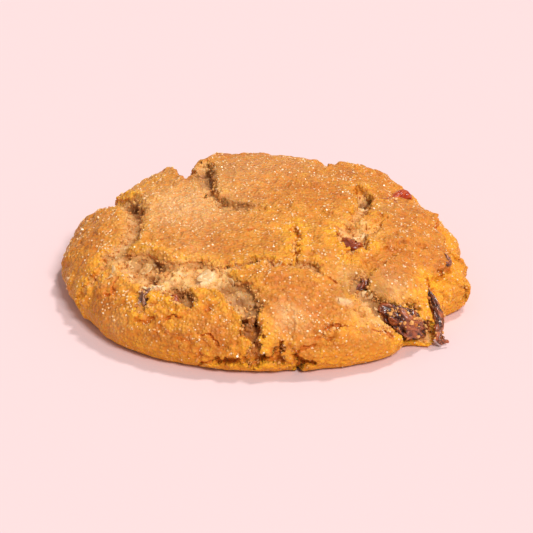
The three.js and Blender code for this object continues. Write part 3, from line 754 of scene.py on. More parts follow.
        rise, pit = patches(places, self.swells), patches(ragged, self.pits)
        height = rise.copy()
        for index, (wave, amount) in enumerate(self.uneven):
            height += amount * NOISE.smooth(places, wave, 0.5 + index)
        for flake in self.flakes:
            height += self.hidden_flake_rise * crust * self.flake_share(flake, places)
        crag, flat = np.zeros(len(places)), np.zeros(len(places))
        for x, y, spread, amount in self.crags:
            crag = np.maximum(crag, amount * bump(run_to(places, x, y), spread))
        crag += self.crag_patchiness * NOISE.smooth(places, self.crag_wave, 31.0)
        for flake in self.bare_flakes:
            flat = np.maximum(flat, flake[5] * self.flake_share(flake, places))
        height += self.bare_flake_rise * flat
        height -= self.step_drop * self.beyond_step(ragged)
        lip = self.lip_height * bump(edge - self.lip_width, self.lip_width) * crust
        height += lip - depth - pit - hair_depth
        return Skin(height=height, depth=depth + pit, torn=torn, share=share, edge=edge,
                    bare=bare, away=away, hairline=np.maximum(hair_share, near_hair),
                    flake=flat, rise=rise, crag=smoothstep(crag, *self.crag_edge))

    def skin(self, places: Floats) -> Skin:
        """The relief, which dies away under the cookie.

        Args:
            places: Rows of x and y, anywhere on the skin map.

        Returns:
            The relief at each place.
        """
        run = run_to(places)
        last = FORM.foot_run - self.relief_end
        held = np.where(run > last, last / np.maximum(run, 1e-9), 1.0)
        skin = self._skin(places * held[:, None])
        fade = 1 - smoothstep(run, last, last + self.relief_fade)
        for name in ("height", "depth", "torn", "share", "hairline", "flake", "crag"):
            setattr(skin, name, getattr(skin, name) * fade)
        return skin


CRUST = Crust()


# ---- Materials ----


class Graph:
    """The nodes of one material."""

    def __init__(self, name: str) -> None:
        """Starts a material with one main shader.

        Args:
            name: Name of the material.
        """
        self.material = bpy.data.materials.new(name)
        self.material.use_nodes = True
        self.tree = self.material.node_tree
        self.tree.nodes.clear()
        self.shader = self.tree.nodes.new("ShaderNodeBsdfPrincipled")
        output = self.tree.nodes.new("ShaderNodeOutputMaterial")
        self.tree.links.new(self.shader.outputs["BSDF"], output.inputs["Surface"])
        self.place = self.tree.nodes.new("ShaderNodeTexCoord").outputs["Object"]

    def _put(self, socket: Socket, value: object) -> None:
        """Links a socket to another one, or sets it to a value.

        Args:
            socket: The socket that takes it.
            value: A socket, a number, a colour or a row of numbers.
        """
        if isinstance(value, Socket):
            self.tree.links.new(value, socket)
        else:
            socket.default_value = value

    def _node(self, kind: str, result: str | int, inputs: dict[str | int, object],
              **settings: object) -> Socket:
        """Adds a node.

        Args:
            kind: Its type.
            result: Name or number of the output that is wanted.
            inputs: Sockets or values for its inputs, by name or number.
            settings: Its own settings.

        Returns:
            The output.
        """
        node = self.tree.nodes.new(kind)
        for name, setting in settings.items():
            setattr(node, name, setting)
        for name, value in inputs.items():
            self._put(node.inputs[name], value)
        return node.outputs[result]

    def set(self, **values: object) -> None:
        """Sets sockets of the main shader, named in lower case with underscores."""
        for name, value in values.items():
            socket = name.replace("_", " ").title().replace("Ior", "IOR")
            self._put(self.shader.inputs[socket], value)

    def attribute(self, name: str) -> Socket:
        """A number that the mesh carries at each point."""
        return self._node("ShaderNodeAttribute", "Fac", {}, attribute_name=name)

    def math(self, kind: str, first: object, second: object, clamp: bool = False) -> Socket:
        """Result of one sum on two numbers or sockets."""
        return self._node("ShaderNodeMath", 0, {0: first, 1: second}, operation=kind,
                          use_clamp=clamp)

    def times(self, first: object, second: object) -> Socket:
        """Product of two numbers or sockets."""
        return self.math("MULTIPLY", first, second)

    def rest(self, share: object) -> Socket:
        """What a share leaves of 1."""
        return self.math("SUBTRACT", 1.0, share)

    def noise(self, wave: float, detail: float = 2.0, roughness: float = 0.5,
              warp: float = 0.0) -> Socket:
        """Cloudy noise from 0 to 1 whose waves are the given length in millimetres."""
        return self._node("ShaderNodeTexNoise", "Fac", {
            "Vector": self.place, "Scale": 1 / (wave * MM), "Detail": detail,
            "Roughness": roughness, "Distortion": warp})

    def cells(self, wave: float) -> Socket:
        """Distance to the nearest of some scattered spots that lie wave millimetres apart."""
        return self._node("ShaderNodeTexVoronoi", "Distance", {
            "Vector": self.place, "Scale": 1 / (wave * MM)})

    def step(self, value: object, low: float, high: float, start: float = 0.0,
             end: float = 1.0) -> Socket:
        """A number led smoothly from start, at low, to end, at high."""
        return self._node("ShaderNodeMapRange", "Result", {
            "Value": value, "From Min": low, "From Max": high, "To Min": start,
            "To Max": end}, interpolation_type="SMOOTHSTEP")

    def mix(self, share: object, first: object, second: object) -> Socket:
        """A colour that lies the given share of the way from the first to the second."""
        return self._node("ShaderNodeMix", 2, {"Factor": share, 6: first, 7: second},
                          data_type="RGBA")

    def layers(self, base: object, *coats: tuple[object, object]) -> Socket:
        """A colour under coats of other colours.

        Args:
            base: The lowest colour.
            coats: Each coat, from the lowest up: its share and its colour.

        Returns:
            The colour that shows.
        """
        for share, colour in coats:
            base = self.mix(share, base, colour)
        return base

    def bump(self, height: object, strength: float, depth: float,
             under: Socket | None = None) -> Socket:
        """A surface direction that shows a fine relief.

        Args:
            height: Height from 0 to 1.
            strength: How strong it shows, 0 to 1.
            depth: Height in millimetres that 1 stands for.
            under: A surface direction that this one builds on.

        Returns:
            The surface direction.
        """
        inputs = {"Strength": strength, "Distance": depth * MM, "Height": height}
        if under is not None:
            inputs["Normal"] = under
        return self._node("ShaderNodeBump", "Normal", inputs)


@dataclass(frozen=True)
class DoughFinish:
    """Baked dough: a golden to brown sugared crust over pale, porous crumb.

    A wave is the size in millimetres of a noise's clouds or cells, a span is where on that
    noise a colour sets in, a share is how much of it shows, and a tone is how much a mask
    browns the crust. Painted shade darkens the crust in its low relief, between its granules
    and crag lumps and under the front lip. It darkens the crumb in its pores, between its lumps
    and with depth in the splits. Painted glints and one painted sheen lie on the crust.
    """

    golden: Colour = linear(250, 176, 46)
    baked: Colour = linear(224, 149, 54)
    brown: Colour = linear(192, 110, 43)
    side: Colour = linear(255, 180, 22)
    # Browned crust with painted shade, under the front lip and along the hairline cracks.
    toasted_and_shaded: Colour = linear(212, 106, 26)
    underside: Colour = linear(160, 88, 38)
    crumb_pale: Colour = linear(250, 200, 132)
    crumb: Colour = linear(236, 172, 98)
    # Painted shade in the crumb's pores and between its lumps.
    crumb_shade: Colour = linear(196, 124, 58)
    shaded: Colour = linear(150, 96, 56)
    # Painted shade in the crannies between the crag lumps.
    crag_shade: Colour = linear(196, 100, 28)
    # Painted shade between the crust's granules.
    granule_shade: Colour = linear(220, 122, 28)
    # Painted shade with depth in the splits and in the crumb's pores.
    deep: Colour = linear(138, 68, 22)
    oat: Colour = linear(255, 228, 184)
    berry: Colour = linear(164, 62, 30)
    # Pale, sugary crust, and a painted sheen on the front plate.
    frost_and_sheen: Colour = linear(255, 204, 140)
    # Pale sugar specks, partly painted glints.
    sugar_glint: Colour = linear(255, 214, 158)
    bran: Colour = linear(150, 62, 24)

    patch_wave: float = 5.0
    relief_wave: float = 1.3
    granule_wave: float = 0.8
    glint_wave: float = 0.95
    glint_cloud_wave: float = 2.4
    bran_wave: float = 3.0
    lump_wave: float = 2.2
    pore_wave: float = 1.5
    sheen_wave: float = 0.9

    # Painted shade: how much the crust browns where the fine relief is low.
    relief_shade_tone: float = 1.2
    brown_tone: float = 0.6
    # Painted shade: how much the crust browns between its lumps.
    hollow_shade_tone: float = 0.3
    edge_tone: float = 0.12

    baked_span: Span = (0.8, 1.35)
    brown_span: Span = (1.2, 2.0)
    gap_span: Span = (0.4, 0.8)
    glint_span: Span = (0.06, 0.34)
    glint_cloud_span: Span = (0.4, 0.66)
    bran_span: Span = (0.03, 0.09)
    lump_span: Span = (0.35, 0.68)
    pore_span: Span = (0.08, 0.3)
    hollow_span: Span = (0.36, 0.85)
    dome_span: Span = (0.05, 0.75)
    sheen_span: Span = (0.3, 0.7)

    side_share: float = 0.92
    side_calm: float = 0.5
    cranny_share: float = 0.8
    gap_share: float = 0.52
    glint_share: float = 0.75
    bran_share: float = 0.65
    # Painted shade: how much the crumb darkens in the dots that stand for pores.
    pore_shade_share: float = 0.35
    # Painted shade: how much the crumb darkens between its lumps.
    hollow_shade_share: float = 0.62
    crumb_calm: float = 0.6

    roughness: float = 0.46
    roughness_spread: float = 0.12
    gloss: float = 0.2
    glow: float = 0.3
    glow_colours: Place = (1.0, 0.4, 0.12)
    glow_depth: float = 0.0009
    relief_depth: float = 0.34
    granule_depth: float = 0.23

    def _crust(self, g: Graph, relief: Socket, granules: Socket) -> Socket:
        """Colour of the crust.

        Args:
            g: The material's nodes.
            relief: The fine relief.
            granules: Distance to the middle of the nearest granule.

        Returns:
            The colour.
        """
        side = g.attribute("side")
        # Painted shade: the crust browns where the fine relief of the bump is low.
        tone = g.math("SUBTRACT", g.noise(self.patch_wave, 3.0, 0.6, 0.6),
                      g.times(relief, self.relief_shade_tone))
        tone = g.math("ADD", tone, 1.0)
        tone = g.math("ADD", tone, g.times(g.attribute("brown"), self.brown_tone))
        # Painted shade: browner between the crust's lumps.
        tone = g.math("ADD", tone, g.times(g.attribute("hollow_shade"), self.hollow_shade_tone))
        tone = g.math("SUBTRACT", tone, g.times(g.attribute("edge"), self.edge_tone))
        # Painted shade: a darker, redder colour between the granules that the bump raises, less on
        # the side.
        granule_shade = g.times(g.rest(g.times(side, self.side_calm)),
                       g.step(granules, *self.gap_span, 0.0, self.gap_share))
        # Pale sugar specks, partly painted glints, in clouds and not on the side.
        sugar_glint = g.times(g.step(g.cells(self.glint_wave), *self.glint_span, self.glint_share, 0.0),
                        g.step(g.noise(self.glint_cloud_wave), *self.glint_cloud_span))
        return g.layers(
            self.golden,
            (g.step(tone, *self.baked_span), self.baked),
            (g.step(tone, *self.brown_span), self.brown),
            (g.times(side, self.side_share), self.side),
            (g.attribute("berry"), self.berry),
            # Pale, sugary crust, and a painted sheen on the front plate.
            (g.attribute("frost_and_sheen"), self.frost_and_sheen),
            # Painted shade in the crannies of the crags.
            (g.times(g.attribute("crag_shade"), self.cranny_share), self.crag_shade),
            (granule_shade, self.granule_shade),
            (g.times(sugar_glint, g.rest(side)), self.sugar_glint),
            # Browned crust and painted shade in the creases under the front lip, and painted shade
            # along the hairline cracks.
            (g.attribute("toast_and_shade"), self.toasted_and_shaded),
            (g.step(g.cells(self.bran_wave), *self.bran_span, self.bran_share, 0.0), self.bran),
        )

    def _inner(self, g: Graph) -> Socket:
        """Colour of the crumb.

        Args:
            g: The material's nodes.

        Returns:
            The colour.
        """
        return g.layers(
            self.crumb,
            (g.step(g.noise(self.lump_wave, 3.0, 0.6), *self.lump_span), self.crumb_pale),
            # Painted shade: dark dots that stand for pores in the crumb.
            (g.step(g.cells(self.pore_wave), *self.pore_span, self.pore_shade_share, 0.0), self.crumb_shade),
            # Painted shade: darker crumb between its lumps.
            (g.step(g.attribute("hollow_shade"), *self.hollow_span, 0.0, self.hollow_shade_share),
             self.crumb_shade),
            # Painted shade: darker with depth in the splits and in the pores.
            (g.attribute("deep"), self.deep),
        )

    def material(self) -> Material:
        """Builds the material from the masks that the dough's mesh carries.

        Returns:
            The material.
        """
        g = Graph("baked_dough")
        crumb = g.attribute("crumb")
        relief = g.noise(self.relief_wave, 2.0, 0.6)
        granules = g.cells(self.granule_wave)
        colour = g.layers(
            self._crust(g, relief, granules),
            (crumb, self._inner(g)),
            (g.attribute("shade"), self.shaded),
            (g.attribute("flake"), self.oat),
            (g.attribute("underside"), self.underside),
        )
        rough = g.step(g.noise(self.sheen_wave), *self.sheen_span,
                       self.roughness - self.roughness_spread,
                       self.roughness + self.roughness_spread)
        domes = g.times(g.rest(g.times(crumb, self.crumb_calm)),
                        g.step(granules, *self.dome_span, 1.0, 0.0))
        fine = g.bump(relief, 1.0, self.relief_depth)
        g.set(base_color=colour, roughness=rough, specular_ior_level=self.gloss,
              subsurface_weight=self.glow, subsurface_radius=self.glow_colours,
              subsurface_scale=self.glow_depth,
              normal=g.bump(domes, 1.0, self.granule_depth, fine))
        return g.material


@dataclass(frozen=True)
class RaisinFinish:
    """Skin of a raisin: sticky, wrinkled and half clear.

    Attributes:
        name: Name of the material.
        dark: Colour of the folds and of the creases between lumps, partly painted shade.
        light: Colour of the ridges, partly painted light.
        glow: Share of the light that passes through.
        dusty: Colour of the dough's dust on it.
        dust: Share of that dust.
        smear: Share of the patches of dough that stick to it.
        wet: Strength of its sticky gloss.
    """

    name: str
    dark: Colour
    light: Colour
    glow: float = 0.15
    dusty: Colour = linear(196, 128, 88)
    dust: float = 0.4
    smear: float = 0.0
    wet: float = 0.5
    wet_roughness: float = 0.2
    glow_colours: Place = (1.0, 0.25, 0.12)
    glow_depth: float = 0.0012
    patch_wave: float = 2.0
    ridge_tone: float = 0.5
    patch_tone: float = 0.9
    light_span: Span = (0.45, 1.15)
    speck_wave: float = 0.7
    speck_span: Span = (0.05, 0.35)
    smear_wave: float = 1.5
    smear_span: Span = (0.54, 0.66)
    sheen_span: Span = (0.35, 0.7)
    roughness: Span = (0.2, 0.45)
    wrinkle_wave: float = 0.5
    wrinkle_strength: float = 0.4
    wrinkle_depth: float = 0.15

    def material(self) -> Material:
        """Builds the material from the ridge mask that the raisin's mesh carries.

        Returns:
            The material.
        """
        g = Graph(self.name)
        patch = g.noise(self.patch_wave, 3.0, 0.6)
        # Painted light and shade over the raisin's own mottling: lighter on the ridges, darker in
        # the folds.
        tone = g.math("ADD", g.times(g.attribute("ridge"), self.ridge_tone),
                      g.times(patch, self.patch_tone))
        colour = g.layers(
            self.dark,
            (g.step(tone, *self.light_span), self.light),
            (g.step(g.cells(self.speck_wave), *self.speck_span, self.dust, 0.0), self.dusty),
            (g.step(g.noise(self.smear_wave, 4.0, 0.7), *self.smear_span, 0.0, self.smear),
             self.dusty),
        )
        wrinkles = g.noise(self.wrinkle_wave, 3.0, 0.6)
        g.set(base_color=colour, roughness=g.step(patch, *self.sheen_span, *self.roughness),
              subsurface_weight=self.glow, subsurface_radius=self.glow_colours,
              subsurface_scale=self.glow_depth, coat_weight=self.wet,
              coat_roughness=self.wet_roughness,
              normal=g.bump(wrinkles, self.wrinkle_strength, self.wrinkle_depth))
        return g.material


@dataclass(frozen=True)
class SpeckFinish:
    """A small loose thing whose tint runs between two colours, such as sugar or crumb."""

    name: str
    first: Colour
    second: Colour
    roughness: float
    gloss: float = 0.5
    grain: float = 0.3
    grain_span: Span = (0.3, 0.7)
    grain_share: float = 0.25
    glow: float = 0.1
    glow_colours: Place = (1.0, 0.8, 0.6)
    glow_depth: float = 0.0006

    def material(self) -> Material:
        """Builds the material from the tint that each speck carries.

        Returns:
            The material.
        """
        g = Graph(self.name)
        cloud = g.step(g.noise(self.grain), *self.grain_span, 0.0, self.grain_share)
        tint = g.math("ADD", g.attribute("tint"), cloud, clamp=True)
        g.set(base_color=g.mix(tint, self.first, self.second), roughness=self.roughness,
              specular_ior_level=self.gloss, subsurface_weight=self.glow,
              subsurface_radius=self.glow_colours, subsurface_scale=self.glow_depth)
        return g.material


@dataclass(frozen=True)
class FloorFinish:
    """Plain matt floor with the faintest of clouds."""

    colour: Colour = (0.80, 0.60, 0.60, 1.0)
    pale: Colour = (1.0, 1.0, 1.0, 1.0)
    cloud_wave: float = 180.0
    cloud_share: float = 0.01
    roughness: float = 0.9

    def material(self) -> Material:
        """Builds the floor's material.

        Returns:
            The material.
        """
        g = Graph("plain_floor")
        cloud = g.step(g.noise(self.cloud_wave, 1.0), 0.0, 1.0, 0.0, self.cloud_share)
        g.set(base_color=g.mix(cloud, self.colour, self.pale), roughness=self.roughness,
              specular_ior_level=0.0)
        return g.material


class RaisinKind(Enum):
    """The looks that raisins have."""

    DARK = RaisinFinish("raisin_dark", linear(54, 16, 7), linear(190, 98, 52), glow=0.25,
                        smear=0.7, wet=0.35)
    PURPLE = RaisinFinish("raisin_purple", linear(96, 52, 40), linear(192, 138, 104),
                          dust=0.6, smear=0.4)
    BROWN = RaisinFinish("raisin_brown", linear(82, 28, 14), linear(172, 84, 44), glow=0.2)
    RED = RaisinFinish("raisin_red", linear(130, 44, 10), linear(200, 100, 40), glow=0.1,
                       dust=0.08, wet=0.15)
    GLOSSY = RaisinFinish("raisin_glossy", linear(160, 42, 0), linear(226, 98, 4), glow=0.1,
                          dust=0.0, wet=0.08)


# ---- Mesh tools ----


def add_ball(name: str, subdivisions: int) -> Piece:
    """Adds a ball of even triangles and radius 1 at the origin.

    Args:
        name: Its name.
        subdivisions: How often its faces are divided.

    Returns:
        The ball.
    """
    bpy.ops.object.select_all(action="DESELECT")
    bpy.ops.mesh.primitive_ico_sphere_add(subdivisions=subdivisions, radius=1.0)
    ball = bpy.context.object
    ball.name = ball.data.name = name
    return ball


def rows_of(items: bpy.types.bpy_prop_collection, name: str, width: int,
            kind: type = np.float64) -> NDArray:
    """Numbers that a mesh holds.

    Args:
        items: The mesh's points, edges or faces.
        name: Name of what is read of each.
        width: How many numbers each has.
        kind: Their type.

    Returns:
        One row for each.
    """
    values = np.empty(len(items) * width, dtype=kind)
    items.foreach_get(name, values)
    return values.reshape(-1, width)


def points_of(mesh: Mesh) -> Floats:
    """Points of a mesh, as rows."""
    return rows_of(mesh.vertices, "co", 3)


def normals_of(mesh: Mesh) -> Floats:
    """Outward directions at the points of a mesh, as rows."""
    return rows_of(mesh.vertices, "normal", 3)


def corners_of(mesh: Mesh) -> Ints:
    """The three corners of each triangle of a mesh, as rows."""
    return rows_of(mesh.polygons, "vertices", 3, np.int32).astype(np.int64)


def place_points(mesh: Mesh, points: Floats) -> None:
    """Moves the points of a mesh to rows of coordinates."""
    mesh.vertices.foreach_set("co", points.ravel())
    mesh.update()


def carry(mesh: Mesh, name: str, values: Floats) -> None:
    """Stores one number for each point of a mesh, for its material to read."""
    layer = mesh.attributes.new(name, "FLOAT", "POINT")
    layer.data.foreach_set("value", values.astype(np.float32))


def finish_piece(piece: Piece, material: Material, slot: str, *nodes: str) -> None:
    """Dresses a finished piece, hangs it under the body and hides the CAD parts it stands for.

    Args:
        piece: The piece.
        material: Its material.
        slot: Name of a material slot; not used.
        nodes: CAD nodes that the piece stands for.
    """
    piece.data.materials.clear()
    piece.data.materials.append(material)
    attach(piece, BODY)
    if nodes:
        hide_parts(*nodes)


def turns(draws: np.random.Generator, count: int) -> Floats:
    """Random turns.

    Args:
        draws: Source of random numbers.
        count: Number of turns.

    Returns:
        One 3 by 3 matrix for each.
    """
    quaternions = draws.normal(size=(count, 4))
    w, x, y, z = (quaternions / np.linalg.norm(quaternions, axis=1, keepdims=True)).T
    rows = [[1 - 2 * (y * y + z * z), 2 * (x * y - z * w), 2 * (x * z + y * w)],
            [2 * (x * y + z * w), 1 - 2 * (x * x + z * z), 2 * (y * z - x * w)],
            [2 * (x * z - y * w), 2 * (y * z + x * w), 1 - 2 * (x * x + y * y)]]
    return np.moveaxis(np.array(rows), -1, 0)


def scatter_mesh(name: str, pattern: Mesh, places: Floats, frames: Floats,
                 tints: Floats) -> Piece:
    """One piece made of many copies of a small mesh.

    Args:
        name: Name of the piece.
        pattern: The small mesh, of triangles.
        places: Where each copy goes, in metres.
        frames: The 3 by 3 matrix that turns and scales each copy.
        tints: One number for each copy, which its points carry.

    Returns:
        The piece.
    """
    shape, corners = points_of(pattern), corners_of(pattern)
    points = np.einsum("nij,vj->nvi", frames, shape) + places[:, None, :]
    faces = corners[None, :, :] + len(shape) * np.arange(len(places))[:, None, None]
    mesh = bpy.data.meshes.new(name)
    mesh.from_pydata(points.reshape(-1, 3), [], faces.reshape(-1, 3))
    mesh.update()
    carry(mesh, "tint", np.repeat(tints, len(shape)))
    piece = bpy.data.objects.new(name, mesh)
    bpy.context.scene.collection.objects.link(piece)
    return piece


def draw_spots(mesh: Mesh, draws: np.random.Generator, count: int,
               weight: Floats) -> tuple[Floats, Floats]:
    """Draws random spots on a mesh, more of them where the weight is greater.

    Args:
        mesh: The mesh, of triangles.
        draws: Source of random numbers.
        count: Number of spots.
        weight: One weight for each point of the mesh.

    Returns:
        Rows of places in metres, and rows of outward directions.
    """
    points, normals, corners = points_of(mesh), normals_of(mesh), corners_of(mesh)
    a, b, c = (points[corners[:, i]] for i in range(3))
    area = np.linalg.norm(np.cross(b - a, c - a), axis=1)
    chance = area * weight[corners].mean(axis=1)
    chosen = corners[draws.choice(len(corners), size=count, p=chance / chance.sum())]
    share = draws.dirichlet((1.0, 1.0, 1.0), size=count)
    place = np.einsum("ni,nij->nj", share, points[chosen])
    out = np.einsum("ni,nij->nj", share, normals[chosen])
    out /= np.linalg.norm(out, axis=1, keepdims=True)
    return place, out


# ---- Dough ----


@dataclass
class Dough:
    """The cookie's dough, with its crust, crumb, splits and foot.

    Attributes:
        passes: For each cut of the mesh, the length over its limit that an edge is cut from.
        berry_tints: Crust that raisins have dyed. This and the four below it are round
            patches, each (x, y, spread, amount).
        frost_and_sheen_patches: Pale, sugary crust; the patch on the front plate is a painted
            sheen.
        dark_crumbs: Crumb and crust that lie in the shade of a split.
        pale_patches: Places where crumb shows through the crust.
        brown_patches: Browner crust.
    """

    ball_detail: int = 6
    crust_edge: float = 0.62
    crag_edge: float = 0.44
    crumb_edge: float = 0.36
    hairline_edge: float = 0.24
    underside_edge: float = 4.0
    torn_reach: float = 0.8
    torn_depth: float = 0.3
    crag_least: float = 0.4
    hairline_least: float = 0.01
    passes: tuple[float, ...] = (1.9, 1.9, 1.6, 1.4, 1.2, 1.05, 1.0)
    triangle_limit: int = 197_000
    overhang: float = 0.3
    overhang_rise: Span = (0.05, 1.2)
    overhang_end: Span = (-4.5, -2.0)
    warp_wave: float = 0.9
    warp: float = 0.3
    crumb_blend: Span = (0.2, 0.8)
    pale_crumb: float = 1.4
    pale_limit: float = 0.9
    lump_wave: float = 2.3
    lump_height: float = 0.68
    small_lump_wave: float = 1.0
    small_lump_height: float = 0.34
    pore_wave: float = 2.6
    pore_depth: float = 1.2
    pore_edge: Span = (0.14, 0.34)
    small_pore_wave: float = 1.3
    small_pore_depth: float = 0.5
    small_pore_edge: Span = (0.1, 0.3)
    crag_lip: float = 0.5
    crag_reach: float = 2.2
    crag_pores: float = 0.5
    cranny_span: Span = (0.42, 0.8)
    crag_wave: float = 1.7
    crag_height: float = 0.95
    crust_lump_wave: float = 2.3
    crust_lump_height: float = 0.3
    crust_grain_wave: float = 0.95
    crust_grain_height: float = 0.14
    crust_swell_wave: float = 1.7
    crust_swell_height: float = 0.22
    crust_sink: float = 0.12
    foot_calm: float = 0.55
    free_height: float = 1.4
    torn_wave: float = 0.9
    patchy_wave: float = 2.6
    patchiness: float = 0.35
    crumb_span: Span = (0.2, 1.3)
    deep_span: Span = (1.8, 3.6)
    toast_span: Span = (0.3, 1.6)
    toast_front: Span = (38.0, 45.0)
    brown_from_edge: Span = (1.0, 5.5)
    berry_span: Span = (-0.3, 0.5)
    underside_seam: Span = (-0.5, 1.5)
    pale_swing: Span = (0.9, 0.7)
    toast_swing: Span = (0.65, 0.35)
    brown_swing: Span = (0.6, 0.35)
    shade_swing: Span = (0.8, 0.5)
    deep_share: float = 0.8
    pore_shade: float = 0.35
    # Painted shade along the hairline cracks.
    hairline_shade: float = 0.7
    crag_share: float = 0.5
    side_start: float = 3.0
    side_share: float = 0.85
    band_share: float = 0.45
    flake_share: float = 0.75
    berry_tints: tuple[Place, ...] = (
        (27.6, 8.4, 3.6, 1.0), (31, 10, 3.0, 1.0), (32.4, 14, 2.6, 0.8), (-22.5, -41, 1.2, 0.6),
        (-25.5, -42, 1.0, 0.5),
        (15, 28, 3.0, 0.4), (19, 26, 3.5, 0.45), (-38, -12, 2.5, 0.25), (-9, 22, 2.0, 0.3),
        (26, 24, 2.5, 0.3), (5, -33, 2.5, 0.25), (-17, -36, 2.0, 0.25),
    )
    frost_and_sheen_patches: tuple[Place, ...] = (
        # The first patch, on the front plate, is a painted sheen; the others are pale, sugary
        # crust.
        (4.6, -41, 3.4, 0.55), (-33, -35, 3.0, 0.2), (-18, 4, 12, 0.58), (-6, 21, 10, 0.15),
        (2, 30, 12, 0.12), (-16, -20, 6, 0.15),
        (-26, -24, 5, 0.15), (-22, 33, 7, 0.15), (27, -29.5, 3.5, 0.3),
    )
    # Painted shade on crumb and crust in and beside the splits.
    dark_crumbs: tuple[Place, ...] = (
        (-30.6, 9, 3.2, 0.75), (-29.4, 3, 2.6, 0.5), (-29.0, -3, 2.4, 0.5),
        (-29.8, -8.5, 2.6, 0.55), (-31.4, -12.3, 2.8, 0.55), (-33.6, -15, 2.4, 0.45),
        (-22.6, -19.8, 1.8, 0.6),
        (-27.5, -18.5, 2.2, 0.45), (-23.8, -24.2, 1.6, 0.5), (-13.6, 24, 5.0, 0.7),
        (-12.6, 15, 4.0, 0.5), (-9.5, 5, 4.0, 0.5), (-5.5, 2.6, 3.0, 0.6),
        (-1.5, 2.2, 2.6, 0.45), (21, -12, 2.6, 0.35),
        (23.4, 8.5, 2.6, 0.7), (22.4, 1, 2.4, 0.4), (24.5, -33.6, 3.4, 0.4),
        (19, -28.5, 2.4, 0.35), (6.6, -25.6, 2.6, 0.45), (-3, -24.5, 2.5, 0.4),
        (-8.2, -32, 2.6, 0.6), (-5.6, -34.6, 2.8, 0.65), (-2.8, -37.2, 2.6, 0.6),
        (-17, -33.4, 2.4, 0.4), (25, -25.5, 3.0, 0.2),
        (27, -29.5, 3.5, 0.25), (-13.9, 19.4, 3.5, 0.45), (16.8, -31.2, 2.6, 0.45),
        (21.8, -32.4, 2.4, 0.45), (19.2, -25.8, 2.2, 0.4), (22, -28.5, 2.6, 0.4),
        (17.2, -27.4, 2.0, 0.3), (14.8, -33, 2.2, 0.25), (27.5, 2, 2.4, 0.35),
    )
    pale_patches: tuple[Place, ...] = (
        (20, -37.0, 3.2, 0.6), (24, -38.4, 2.4, 0.5), (20.4, -32.6, 2.6, 0.6),
        (16.6, -29, 2.4, 0.5), (16, -25, 3.0, 0.3), (19, -6.5, 3.2, 0.6), (21.5, -9.4, 3.0, 0.6),
        (-32.5, -22.5, 2.0, 0.5), (-11, -25.2, 2.4, 0.5), (26, 3, 2.5, 0.3), (27, -30, 3.0, 0.3),
    )
    brown_patches: tuple[Place, ...] = (
        (26, -22, 6.0, 0.6), (31, -5, 8.0, 0.9), (34, -16, 5.0, 0.5), (24, 22, 7.0, 0.5),
        (22, 10, 6.0, 0.4), (4, -34, 8.0, 1.0), (-4, 27, 12.0, 0.95), (-13, -19, 5.0, 0.5),
        (8, 14, 9.0, 0.7), (-15, 0, 12.0, 0.65), (-18, -42, 8.0, 0.25),
        (-38, -6, 7.0, 0.45), (-40, 10, 6.0, 0.3), (-12, -42, 6.0, 0.35), (36, 20, 6.0, 0.2),
        (-32, -34, 7.0, 0.3), (-38, -24, 6.0, 0.3), (12, -24, 5.0, 0.2),
    )

    def build(self) -> Piece:
        """Builds and dresses the dough.

        Returns:
            The piece.
        """
        ball = add_ball("cookie_dough", self.ball_detail)
        mesh = ball.data
        places, skin = self._refine(ball)
        log.info("%s: cut into %d faces", ball.name, len(mesh.polygons))
        points = self._overhung(places, skin)
        place_points(mesh, points * MM)
        points = self._roughened(points, places, skin, normals_of(mesh))
        place_points(mesh, points * MM)
        bpy.ops.object.shade_smooth()
        self._carry_masks(mesh, places, skin)
        finish_piece(ball, DoughFinish().material(), DOUGH_SLOT, "dough")
        self.mesh, self.places, self.skin = mesh, places, skin
        return ball

    def _refine(self, ball: Piece) -> tuple[Floats, Skin]:
        """Cuts the ball's long edges until its mesh carries the relief.

        Args:
            ball: The ball, whose points are directions from the middle.

        Returns:
            The place on the skin map of each point, and the relief there.
        """
        mesh = ball.data
        all_places: list[Floats] = []
        skins: list[Skin] = []
        known = 0
        for excess in (*self.passes, None):
            directions = points_of(mesh)
            directions /= np.linalg.norm(directions, axis=1, keepdims=True)
            place_points(mesh, directions)
            fresh = FORM.places(directions[known:])
            all_places.append(fresh)
            skins.append(CRUST.skin(fresh))
            known = len(directions)
            places, skin = np.concatenate(all_places), Skin.joined(skins)
            if excess is None:
                break
            points = FORM.points(places, skin.height)
            ends = rows_of(mesh.edges, "vertices", 2, np.int32)
            limit = self._edge_limits(places, skin)[ends].min(axis=1)
            length = np.linalg.norm(points[ends[:, 0]] - points[ends[:, 1]], axis=1)
            ratio = length / limit
            spare = (self.triangle_limit - len(mesh.polygons)) // 2
            chosen = np.zeros(len(ratio), dtype=bool)
            chosen[np.argsort(-ratio)[:max(spare, 0)]] = True
            self._cut_edges(mesh, chosen & (ratio > excess))
        return places, skin

    def _edge_limits(self, places: Floats, skin: Skin) -> Floats:
        """Longest edge that the mesh may have.

        Args:
            places: Rows of x and y.
            skin: The relief there.

        Returns:
            The length at each place.
        """
        torn = (skin.edge < self.torn_reach) | (skin.depth > self.torn_depth)
        limit = np.where(skin.crag > self.crag_least, self.crag_edge, self.crust_edge)
        limit = np.where(torn, self.crumb_edge, limit)
        limit = np.where(skin.hairline > self.hairline_least, self.hairline_edge, limit)
        return np.where(run_to(places) > FORM.foot_run, self.underside_edge, limit)

